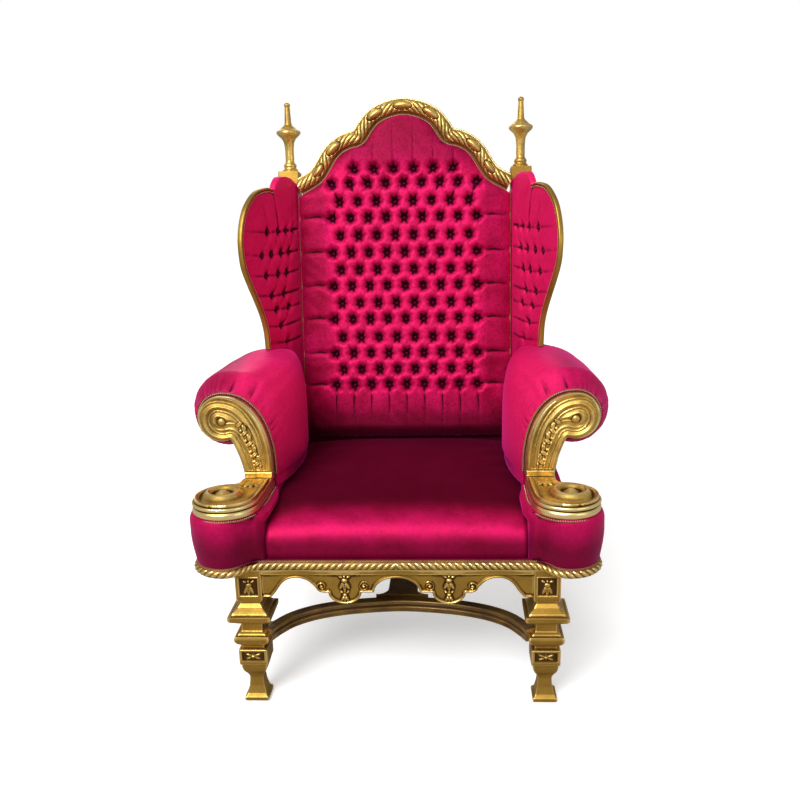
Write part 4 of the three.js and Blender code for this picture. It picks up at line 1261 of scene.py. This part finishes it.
make_piece("carved_apron", [apron()], gilt, ["apron_front"], crease=50, reach=0.0016, passes=11)

# %% [markdown]
# A rope is three strands laid round each other. Its section is the outline of three touching circles,
# and turning that section as it moves along the board's edge lays the rope. Left of the middle it turns
# one way and right of it the other, as carvers do so that both sides match. A curve with a bevel shape
# can be twisted in Blender as well, but not both ways from its middle.

# %% Rope edge
ROPE_RADIUS, ROPE_LEAD, ROPE_Z, ROPE_INSET, ROPE_STEP = 0.0124, 0.0576, 0.4445, 0.0100, 0.0029
STRAND_OUT, STRAND_RADIUS = 0.44, 0.56


def rope():
    """Three-lobed section turned in proportion to the distance from the middle."""
    line = flip_joined(spaced(half_board(ROPE_INSET, 0.006), step=ROPE_STEP))
    run = run_along(line)
    run = np.abs(run - run[-1] / 2)
    side = sideways(line)
    angle = np.linspace(0, math.tau, 22)[:-1][None]
    lobe = np.mod(angle + math.tau * run[:, None] / ROPE_LEAD, math.tau / 3) - math.tau / 6
    reach = STRAND_OUT * np.cos(lobe) + np.sqrt(STRAND_RADIUS**2 - (STRAND_OUT * np.sin(lobe)) ** 2)
    reach = ROPE_RADIUS * reach * (1 + 0.012 * np.sin(run[:, None] * 900))
    out = -side[:, None] * (reach * np.cos(angle))[..., None]
    points = line[:, None] + out
    return tube(place(points[..., 0], points[..., 1], ROPE_Z + reach * np.sin(angle)))


make_piece("rope_edge", [rope()], gilt, crease=0, reach=0.0020, passes=12)

# %% [markdown]
# The crest rail is a moulding bent round the back: a punched lip outside, a torus in the middle and a
# cove towards the velvet. The torus is wrapped with leaf strands, and oval pearls lie between them. The
# face is one grid, with the distance along the rail and the distance across it as its two directions, so
# each strand and pearl is set out along the rail as a carver would do it.

# %% Crest rail
CREST_ACROSS = [(-CREST_HALF_WIDTH, -0.007), (-0.0245, -0.0085), (-0.0215, -0.012), (-0.0175, -0.0205),
                (-0.010, -0.0265), (0.0, -0.0290), (0.009, -0.0270), (0.015, -0.0225), (0.0195, -0.0145),
                (0.022, -0.011), (0.0265, -0.0105), (CREST_HALF_WIDTH, -0.004)]
PEARLS = [(0.0, 0.031, 0.0150), (0.099, 0.029, 0.0140), (0.248, 0.029, 0.0140), (0.301, 0.025, 0.0125)]


def crest_rail():
    """Base section plus strands on the torus, pearls, punch marks and a row of small beads."""
    run = run_along(crest_line)
    along, ax = np.abs(run - run[-1] / 2)[:, None], np.abs(crest_line[:, :1])
    n = np.linspace(-CREST_HALF_WIDTH, CREST_HALF_WIDTH, 50)[None]
    u = np.interp(n, *zip(*CREST_ACROSS))
    on_torus = step_up(n, -0.0215, -0.018) * (1 - step_up(n, 0.0175, 0.0205))
    slant = (along + n * 1.3) / 0.0225
    strands = 0.0058 * (np.abs(np.sin(math.pi * slant)) ** 0.55 - 0.8)
    notch = ridge(ax - 0.160, 0.006)
    height = on_torus * strands - 0.004 * notch * on_torus
    for at, long, wide in PEARLS:
        off = ((along - along[np.argmin(np.abs(ax - at)), 0]) / long) ** 2 + ((n - 0.001) / wide) ** 2
        hold = 1 - step_up(np.sqrt(off), 1.0, 1.25)
        height = height * (1 - hold) - 0.004 * hold + 0.0125 * np.sqrt(np.clip(1 - off, 0, 1))
    punched = 0.0013 * (np.sin(along * math.tau / 0.0052) > 0.2) * ridge(n - 0.0243, 0.0020)
    gadroon = 0.001 * np.abs(np.sin(along * math.pi / 0.0062)) * ridge(n + 0.0255, 0.002)
    u = u - height - gadroon + punched
    x = np.clip(crest_line[:, :1] + crest_side[:, :1] * n, -POST_INNER, POST_INNER)
    v = crest_line[:, 1:] + crest_side[:, 1:] * n
    return plate(on_back(x, v, u), on_back(x, v, np.full_like(x, 0.044)), keep=6)


make_piece("carved_crest", [crest_rail()], gilt_painted_light, ["crest_rail"], crease=60, reach=0.0024, passes=12)

# %% [markdown]
# Scroll facings are boards too, but their outline curls. The face is a ladder of rungs between the inner
# and the outer side, which meet at the crown. The ribs are worked out from the distance to the edge plus
# one turn round the head, so that the rib that leaves the neck outside comes back one rib further in.

# %% Scroll carving
def carved_board(left, right, wall, relief, columns, to_frame):
    """Wall, face and wall between two sides that meet in the last row, closed underneath."""
    outline = np.concatenate([left, right[-2::-1]])
    out = away(outline)
    left_out, right_out = out[:len(left)], out[:len(left) - 2:-1]
    proud, height = np.array(wall).T
    walls = [side[:, None] + normal[:, None] * proud[None, :, None]
             for side, normal in ((left, left_out), (right, right_out))]
    share = np.linspace(0, 1, columns + 2)[None, 1:-1, None]
    face = walls[0][:, -1:] * (1 - share) + walls[1][:, -1:] * share
    near = edge_distance(face[..., 0], face[..., 1], spaced(outline, step=0.0015))
    face_height = height[-1] + relief(face[..., 0], face[..., 1], near)
    flat = np.concatenate([walls[0], face, walls[1][:, ::-1]], axis=1)
    up = np.broadcast_to(height, (len(left), len(height)))
    levels = np.concatenate([up, face_height, up[:, ::-1]], axis=1)
    rings = to_frame(flat[..., 0], flat[..., 1], levels)
    foot = np.broadcast_to(rings[:1].mean(axis=1, keepdims=True), rings[:1].shape)
    rings = np.concatenate([foot, rings])
    return outward(rings.reshape(-1, 3), quads(rings.shape[0], rings.shape[1], ring=True))


def scroll_ribs(near, turn, pitch):
    """Broad and narrow ribs, repeated every pitch of distance from the edge plus the share of a turn."""
    share = np.mod(near / pitch + turn + 0.1, 1)
    broad = ridge(share - 0.46, 0.20)
    narrow = highest(ridge(share - 0.92, 0.05), ridge(share + 0.08, 0.05))
    return 0.0062 * broad + 0.0032 * narrow


def head_turn(a, b, eye, start, sweep):
    """Share of one turn round the eye, from the angle start over sweep degrees, 0 or 1 in the neck."""
    angle = np.degrees(np.arctan2(b - eye[1], a - eye[0]))
    return np.clip(np.mod(start - angle, 360) / sweep, 0, 1) * (np.mod(start - angle, 360) < sweep)


# %% [markdown]
# The upright facing closes the front of the arm's roll, so its outline is the arm's own, a little smaller.
# On the real chair it is carved from one board, with a drop of leaves beside the neck of the scroll.

# %% Upright scroll facings
facing_line = arm_outline(0.382, 0.87, 0.5325, 0.2375, 0.602, 0.0695, 0.0, 0.6454)[0]
crown = int(np.argmax(facing_line[:, 1]))
facing_left = spaced(facing_line[:crown + 1], count=236)
facing_right = spaced(facing_line[crown:][::-1], count=236)
FACING_EYE = (0.5285, 0.821)


def facing_relief(x, z, near):
    """Ribs of the scroll, the eye, a ledge at the foot and a drop of leaves and berries."""
    turn = head_turn(x, z, FACING_EYE, 180, 293)
    ribs = scroll_ribs(near, turn, 0.0285)
    channel = step_up(near, 0.0345, 0.041) * (1 - step_up(z, 0.80, 0.825))
    eye = petal(x, z, FACING_EYE, 0.0125, 0.0125, groove=0)
    at_eye = 1 - step_up(np.hypot(x - FACING_EYE[0], z - FACING_EYE[1]), 0.012, 0.0155)
    line = through([(0.472, 0.812), (0.459, 0.784), (0.445, 0.751), (0.433, 0.716), (0.426, 0.688)], 9)
    drop = np.zeros_like(x)
    for k, (bx, bz) in enumerate(line):
        side = (-1) ** k
        leaf = petal(x, z, (bx + 0.004 * side, bz), 0.0115, 0.0065, -24 - 26 * side)
        berry = petal(x, z, (bx - 0.007 * side, bz - 0.006), 0.0052, 0.0052, groove=0)
        drop = highest(drop, leaf, 0.8 * berry)
    ledge = 0.004 * (1 - step_up(z, 0.6595, 0.6625)) + 0.0016 * ridge(z - 0.666, 0.0018)
    ribs = ribs * (1 - channel) * step_up(z, 0.660, 0.672) * (1 - at_eye)
    return ribs + 0.0085 * eye + 0.0068 * drop * step_up(near, 0.02, 0.03) + ledge - 0.001 * channel


FACING_WALL = [(-0.002, 0.0004), (0.0, 0.002), (0.0, 0.022), (-0.0012, 0.0255), (-0.0035, 0.027)]
scroll_part = carved_board(facing_left, facing_right, FACING_WALL, facing_relief, 78,
                           lambda x, z, h: place(x, SCROLL_BACK - h, z))
make_pair("arm_scroll_carving", [scroll_part], gilt_painted_light, ["arm_scroll"], crease=60, reach=0.0030, passes=9)

# %% [markdown]
# The flat volute lies on the drum like a lid. Its head is a round arc about the drum, and its stem runs
# back to the foot of the facing. It is made with the same board, laid flat: a rim, a ring and a boss.

# %% Flat volutes
VOLUTE_X, VOLUTE_Y, VOLUTE_RADIUS, STEM_INNER, STEM_OUTER = 0.4835, -0.010, 0.0965, 0.384, 0.473
VOLUTE_EYE, STEM_BACK = (0.499, 0.012), 0.1876
HEAD_FROM, HEAD_TO, HEAD_FRONT, HEAD_POINTS = 178, 448, 285, 260


def volute_sides():
    """The inner side from the facing to the front of the head, and the outer side from the throat."""
    head = arc(VOLUTE_X, VOLUTE_Y, VOLUTE_RADIUS, VOLUTE_RADIUS, HEAD_FROM, HEAD_TO, HEAD_POINTS)
    front = int(np.argmin(np.abs(np.linspace(HEAD_FROM, HEAD_TO, HEAD_POINTS) - HEAD_FRONT)))
    last = head[-1]
    throat = bezier(last, (STEM_OUTER + 0.004, last[1] + 0.001), (STEM_OUTER, 0.096), (STEM_OUTER, 0.122), 30)
    inner = np.concatenate([[(STEM_INNER, STEM_BACK), (STEM_INNER, 0.060)], head[:front + 1]])
    outer = np.concatenate([[(STEM_OUTER, STEM_BACK)], throat[::-1], head[front:-1][::-1]])
    return spaced(inner, count=190), spaced(outer, count=190)


def volute_relief(x, y, near):
    """A rim at the edge, a sunk channel, a raised oval ring and a boss, and a leaf by the facing."""
    from_eye = np.hypot(x - VOLUTE_EYE[0], y - VOLUTE_EYE[1])
    head = 1 - step_up(y, 0.070, 0.10)
    rim = 0.0100 * ridge(near - 0.009, 0.010)
    ring = 0.0150 * ridge(from_eye - 0.043, 0.013) * head
    boss = 0.0160 * ridge(from_eye, 0.019)
    line = 0.0035 * ridge(near - 0.0265, 0.005) * (1 - head)
    leaf = np.zeros_like(x)
    for lean, long in ((180, 0.024), (145, 0.020), (215, 0.020), (110, 0.013), (250, 0.013)):
        a = math.radians(lean)
        at = (0.4335 + long * 0.8 * math.sin(a), 0.108 + long * 0.8 * math.cos(a))
        leaf = np.maximum(leaf, petal(x, y, at, long, 0.0065, lean))
    return highest(rim, ring, boss, line) * (1 - step_up(y, 0.12, 0.16)) + 0.006 * leaf


volute_left, volute_right = volute_sides()
LOWER_ROLL = [(-0.006, 0.6074), (-0.0022, 0.6090), (-0.0005, 0.6125), (0.0, 0.6165), (-0.0004, 0.6210),
              (-0.0018, 0.6255), (-0.0055, 0.6285)]
UPPER_ROLL = [(-0.0052, 0.6310), (-0.0012, 0.6330), (0.0, 0.6365), (-0.0008, 0.6405), (-0.003, 0.6425),
              (-0.0055, 0.6430)]
volute_part = carved_board(volute_left, volute_right, LOWER_ROLL + UPPER_ROLL, volute_relief, 72, place)
make_pair("arm_volute_carving", [volute_part], gilt_painted_light, ["arm_volute"], crease=60, reach=0.0030,
          passes=22)

# %% [markdown]
# Finials are turned on a lathe, so their shape is a profile spun about an upright axis, which stands in the
# middle of the solid finial. Blender's Screw modifier could spin it too, but a grid also takes the flutes.

# %% Finials
FINIAL_BASE = [(0, 0.027), (0.010, 0.027), (0.012, 0.0275), (0.015, 0.0225), (0.020, 0.0215),
               (0.026, 0.0235), (0.031, 0.021), (0.036, 0.0165), (0.044, 0.0150), (0.078, 0.0148)]
FINIAL_CUP = [(0.092, 0.0160), (0.104, 0.0180), (0.112, 0.0215), (0.120, 0.026), (0.128, 0.0355),
              (0.132, 0.040), (0.139, 0.0435), (0.144, 0.0432), (0.147, 0.0395), (0.152, 0.0300)]
FINIAL_SPIRE = [(0.160, 0.0215), (0.166, 0.0150), (0.172, 0.0122), (0.200, 0.0105), (0.228, 0.0090),
                (0.232, 0.0108), (0.237, 0.0108), (0.241, 0.0065), (0.2434, 0.0012)]


def finial():
    """Radius by height, spun about the axis, with shallow flutes on the neck below the cup."""
    h, radius = by_height(FINIAL_BASE + FINIAL_CUP + FINIAL_SPIRE, 120)
    angle = np.linspace(0, math.tau, 33)[:-1][None]
    flutes = 0.0007 * np.cos(8 * angle) * ((h > 0.046) & (h < 0.100))[:, None]
    r = radius[:, None] + flutes
    solid = np.array(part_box("finial_right"))
    middle = solid.mean(axis=0)
    up = np.broadcast_to(solid[0, 2] + h[:, None], r.shape)
    return tube(np.stack([middle[0] + r * np.cos(angle), middle[1] + r * np.sin(angle), up], axis=-1))


make_pair("turned_finial", [finial()], gilt_painted_light, ["finial"], crease=50, reach=0.004, passes=5)

# %% [markdown]
# The wing edges are thin gilt strips that follow each wing's free outline, with a rounded outer face. A
# section of ten points goes along two copies of the outline, the strip's outer and its inner border.

# %% Wing edges
STRIP_SHARE = np.array([1.0, 0.75, 0.35, 0.08, 0.0, 0.0, 0.08, 0.35, 0.75, 1.0])
STRIP_DEPTH = np.array([0.0, -0.0016, -0.0016, 0.0005, 0.003, 0.012, 0.0145, 0.0158, 0.0158, 0.0150])
STRIP_FOOT_S = 0.236


def stretch_of(line, lowest):
    """The part of a wing's line, as a slice, from where its strip begins down to the height lowest."""
    begin = int(np.argmax(line[:, 0] > STRIP_FROM))
    end = int(np.argmax(line[:, 1] < lowest)) or len(line)
    return slice(begin, end)


def wing_edge():
    """A rounded strip outside the velvet, from beyond the upper lobe down to the arm."""
    line = wing_line(0.0)
    shown = stretch_of(line, float(arm_height(np.array([STRIP_FOOT_S]))[0]) + 0.002)
    line, inner = line[shown], wing_line(WING_EDGE_WIDE)[shown]
    share, w = STRIP_SHARE[None, :, None], STRIP_DEPTH
    flat = line[:, None] * (1 - share) + inner[:, None] * share
    return tube(on_wing(flat[..., 0], flat[..., 1], np.broadcast_to(w, flat.shape[:2])))


make_pair("wing_edge_strip", [wing_edge()], gilt, ["wing_edge"], crease=50, reach=0.02, passes=4)

# %% [markdown]
# Two bowed bars tie the legs, one behind the front legs and its mirror image before the back ones. Each
# is the same moulding carried along a smooth bow: a rounded top edge and one groove along the front. A
# bevelled curve would do as much, but here the ends are also held flat against the legs.

# %% Stretchers
STRETCHER_BOW = [(0, 0.170), (0.110, 0.159), (0.197, 0.140), (0.272, 0.110), (0.330, 0.068), (0.366, 0.020),
                 (0.388, -0.022)]
STRETCHER_LOW, STRETCHER_HIGH, STRETCHER_THICK, MEET_Y = 0.198, 0.236, 0.032, 0.410
COPED_END = 0.4035


def stretcher(reach, turn):
    """The moulding carried along the bow; turn mirrors it in depth about the throne's middle."""
    h = STRETCHER_THICK / 2
    low, high = STRETCHER_LOW, STRETCHER_HIGH
    back = [(-h + 0.001, low), (h - 0.001, low), (h, low + 0.001), (h, high - 0.004)]
    top = [(h - 0.001, high - 0.0012), (h - 0.004, high), (0.004 - h, high), (0.0012 - h, high - 0.0015),
           (-h, high - 0.0045)]
    groove = [(-h, 0.2245), (0.0012 - h, 0.2225), (0.004 - h, 0.2205), (0.004 - h, 0.2165),
              (0.0012 - h, 0.2145), (-h, 0.2125), (-h, low + 0.001)]
    section = np.array(back + top + groove)
    section = spaced(np.vstack([section, section[:1]]), step=0.0022)[:-1]
    line = spaced(through(flip_joined(np.array(STRETCHER_BOW)), 500), step=0.010)
    side = sideways(line)
    x = np.clip(line[:, :1] + side[:, :1] * section[None, :, 0], -reach, reach)
    y = line[:, 1:] + side[:, 1:] * section[None, :, 0]
    y = 2 * MEET_Y - y if turn else y
    return tube(place(x, y, np.broadcast_to(section[None, :, 1], x.shape)))


make_piece("bowed_stretcher_front", [stretcher(COPED_END, False)], gilt_painted_shade, ["stretcher_front"], passes=8)
make_piece("bowed_stretcher_back", [stretcher(POST_INNER, True)], gilt_painted_shade, ["stretcher_back"], passes=8)

# %% [markdown]
# Rows of small bronze nails hold the velvet along every carved edge. Each row is a line on the cloth
# beside the carving, found from the same curves as the pieces, and beads are set along it close together.
# On the seat board the velvet also laps over the edge, under its row. The outside back's row is a guess,
# because the photograph doesn't show it.

# %% Nail rows
CREST_ROW_END, SEAM_X = 0.376, 0.3762
BEAD, BEAD_STEP, BRAID_BELOW, BRAID_THICK = 0.0021, 0.0066, 0.0018, 0.0032


def nail_row(name, line, out, pair=True, wide=0.0068, metal=bronze):
    """Beads on a line with a dark braid just under them; out points away from the cloth."""
    out = unit(np.asarray(out, float))
    make = make_pair if pair else make_piece
    make(name, [nails(line, BEAD_STEP, BEAD)], metal, crease=0, reach=0.02, passes=2)
    strip = braid(line - BRAID_BELOW * out, out, wide, BRAID_THICK)
    make("braid_under_" + name, [strip], bronze_braid, crease=0, reach=0.004, passes=3)


def beside(line, gap):
    """A flat closed outline's points moved outwards by gap."""
    return line + away(line) * gap


crest_row = crest_line - crest_side * (CREST_HALF_WIDTH + 0.002)
crest_row = crest_row[np.abs(crest_row[:, 0]) < CREST_ROW_END]
nail_row("crest_nails", on_back(*crest_row.T, np.full(len(crest_row), -0.0165)), (0, -1, 0.1), pair=False)

seam_v = np.linspace(0.02, 0.88, 120)
seam_row = on_back(np.full_like(seam_v, SEAM_X), seam_v, np.full_like(seam_v, -0.0125))
nail_row("seam_nails", seam_row, (-0.3, -1, 0.1))


# %% Nails round the arms and wings
def facing_row():
    """The row round the scroll facing, on the velvet just outside it, to the underside of the head."""
    around = beside(np.concatenate([facing_left, facing_right[-2::-1]]), 0.0048)
    row = around[5:len(facing_left) + 140]
    return place(row[:, 0], np.full(len(row), SCROLL_BACK - 0.0012), row[:, 1])


nail_row("facing_nails", facing_row(), (0, -1, 0))


def volute_row():
    """The row round the flat volute, from the facing's inner foot past the front to the throat."""
    around = np.concatenate([volute_left, volute_right[-2::-1]])
    row = beside(around, -0.0012 + 0.0050 * step_up(around[:, 1:], 0.0, 0.05))
    row = row[6:len(volute_left) + 110]
    return place(row[:, 0], row[:, 1], 0.6045 + 0.0034 * step_up(row[:, 1], 0.0, 0.05))


nail_row("volute_nails", volute_row(), (0, 0, 1))


def wing_row():
    """The row along the wing's free edge, just inside the gilt strip."""
    line = wing_line(WING_EDGE_WIDE + 0.0042)
    line = line[stretch_of(line, 0.945)]
    return on_wing(*line.T, np.full(len(line), 0.0005))


nail_row("wing_nails", wing_row(), (-1, -0.3, 0), wide=0.0055)


# %% Nails on the board and the outside back
def board_row(inset, height):
    """A row along the seat board's whole edge, from one back corner to the other."""
    line = flip_joined(half_board(inset, 0.004))
    return place(*line.T, np.full(len(line), height))


nail_row("board_nails", board_row(0.0085, 0.4600), (0, -0.4, 1), pair=False, wide=0.010, metal=bronze_darker)
# The velvet lap over the board is darkened all along: painted shade.
LAP_WIDE, LAP_THICK, LAP_PAINTED_SHADE = 0.042, 0.0036, 0.75
lap = braid(board_row(0.0310, 0.4588), (0, 0, 1), LAP_WIDE, LAP_THICK)
make_piece("velvet_lap", [lap], velvet_seat, crease=0, reach=0.004, passes=3,
           shade=lambda x, y, z: np.full_like(z, LAP_PAINTED_SHADE))


def panel_row():
    """Half of the row round the outside back: down from the top, then along the bottom to the middle."""
    side = pad_edge[pad_edge[:, 0] > 0] * (0.978, 1) - (0, 0.010)
    foot = PANEL_FOOT + 0.010
    line = spaced(np.concatenate([side, [(side[-1, 0], foot), (0.003, foot)]]), step=0.006)
    return on_back(*line.T, np.full(len(line), 0.0515))


nail_row("panel_nails", panel_row(), (0, 1, -0.1))

# %% [markdown]
# The photograph was taken at shoulder height, a little right of the middle and looking slightly down, with
# a short lens. The camera's place was worked out from matching points on the left and right of the
# throne. The light is that of a white studio: a broad soft sun and a lamp from the front left, and weaker
# lamps at the front right and behind. Only the camera sees floor and sky as nearly white. To the other rays
# both are darker, or their light from below would wash the carving out.

# %% Floor
floor_material, tree, out = new_material("pale floor")
where = add(tree, "ShaderNodeTexCoord").outputs["Object"]
tone = mixed(tree, noise(tree, where, 0.8, 3.0), (0.93, 0.93, 0.93, 1), (0.97, 0.97, 0.965, 1))
seen_floor = add(tree, "ShaderNodeBsdfPrincipled", {
    "Base Color": tone, "Roughness": 0.8, "Emission Color": (1, 1, 1, 1), "Emission Strength": 0.34})
bounce = add(tree, "ShaderNodeBsdfDiffuse", {"Color": (0.42, 0.40, 0.38, 1)})
by_camera = add(tree, "ShaderNodeLightPath").outputs["Is Camera Ray"]
pick = add(tree, "ShaderNodeMixShader", {0: by_camera, 1: bounce.outputs[0], 2: seen_floor.outputs[0]})
tree.links.new(pick.outputs[0], out.inputs[0])
FLOOR_LINES, FLOOR_REACH, FLOOR_BELOW = 41, 30, 0.0005
lines = np.linspace(-1, 1, FLOOR_LINES) ** 3 * FLOOR_REACH
floor_x, floor_y = np.meshgrid(lines, lines, indexing="ij")
floor_mesh = bpy.data.meshes.new("floor")
floor_points = np.stack([floor_x, floor_y, 0 * floor_x - FLOOR_BELOW], axis=-1).reshape(-1, 3)
floor_mesh.from_pydata(floor_points.tolist(), [], quads(FLOOR_LINES, FLOOR_LINES).tolist())
floor_mesh.materials.append(floor_material)
floor = bpy.data.objects.new("floor", floor_mesh)
bpy.context.scene.collection.objects.link(floor)
floor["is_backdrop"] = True
print("floor", 2 * FLOOR_REACH, "m across")


# %% Lights
def softbox(name, spot, aim, size, power):
    """A square soft lamp at spot that faces aim."""
    lamp = bpy.data.lights.new(name, "AREA")
    lamp.size, lamp.energy = size, power
    holder = bpy.data.objects.new(name, lamp)
    bpy.context.scene.collection.objects.link(holder)
    holder.location = spot
    holder.rotation_euler = Vector(np.subtract(aim, spot)).to_track_quat("-Z", "Y").to_euler()


sun = bpy.data.lights.new("window", "SUN")
sun.energy, sun.angle = 2.3, math.radians(38)
window_light = bpy.data.objects.new("window", sun)
bpy.context.scene.collection.objects.link(window_light)
window_light.rotation_euler = (math.radians(46), 0, math.radians(-24))
softbox("key", (-1.5, -2.8, 2.6), (0, 0, 0.9), 1.5, 34)
softbox("fill", (2.4, -2.6, 1.7), (0, 0, 0.8), 1.6, 14)
softbox("rear", (-0.8, 2.8, 2.6), (0, 0, 0.9), 2.0, 22)
world = bpy.data.worlds.new("studio")
bpy.context.scene.world = world
world.use_nodes = True
sky = world.node_tree
sky.nodes.clear()
seen = add(sky, "ShaderNodeBackground", {"Color": (1, 1, 1, 1), "Strength": 1.0})
lit = add(sky, "ShaderNodeBackground", {"Color": (1, 1, 1, 1), "Strength": 0.42})
by_camera = add(sky, "ShaderNodeLightPath").outputs["Is Camera Ray"]
choice = add(sky, "ShaderNodeMixShader", {0: by_camera, 1: lit.outputs[0], 2: seen.outputs[0]})
sky.links.new(choice.outputs[0], add(sky, "ShaderNodeOutputWorld").inputs[0])
bpy.context.scene.view_settings.view_transform = "Standard"
print(len(bpy.data.lights), "lights")

# %% Camera
CAMERA_SPOT = (0.16680, -2.69706, 1.47801)
PITCH, YAW, ROLL = (math.radians(angle) for angle in (14.52, -2.69, -1.21))
ahead = np.array([math.sin(YAW) * math.cos(PITCH), math.cos(YAW) * math.cos(PITCH), -math.sin(PITCH)])
level = np.array([math.cos(YAW), -math.sin(YAW), 0.0])
upright = np.cross(level, ahead)
right = level * math.cos(ROLL) + upright * math.sin(ROLL)
up = upright * math.cos(ROLL) - level * math.sin(ROLL)
lens = bpy.data.cameras.new("camera")
lens.lens, lens.sensor_width, lens.shift_x, lens.shift_y = 38.08, 36.0, -0.0181, 0.0140
lens.clip_start, lens.clip_end = 0.05, 100
camera = bpy.data.objects.new("camera", lens)
bpy.context.scene.collection.objects.link(camera)
turned = Matrix(np.stack([right, up, -ahead], axis=-1).tolist()).to_4x4()
turned.translation = CAMERA_SPOT
camera.matrix_world = turned
bpy.context.scene.camera = camera
print("camera at", CAMERA_SPOT)

# %% [markdown]
# Last, the finished throne is measured against its solids.

# %% Sizes and finish
seen_low, seen_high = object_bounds()
grown = [round(1000 * (b - a), 1) for a, b in zip(solid_low, seen_low)]
grown += [round(1000 * (b - a), 1) for a, b in zip(solid_high, seen_high)]
print("visual box beyond the solid box, mm:", grown)
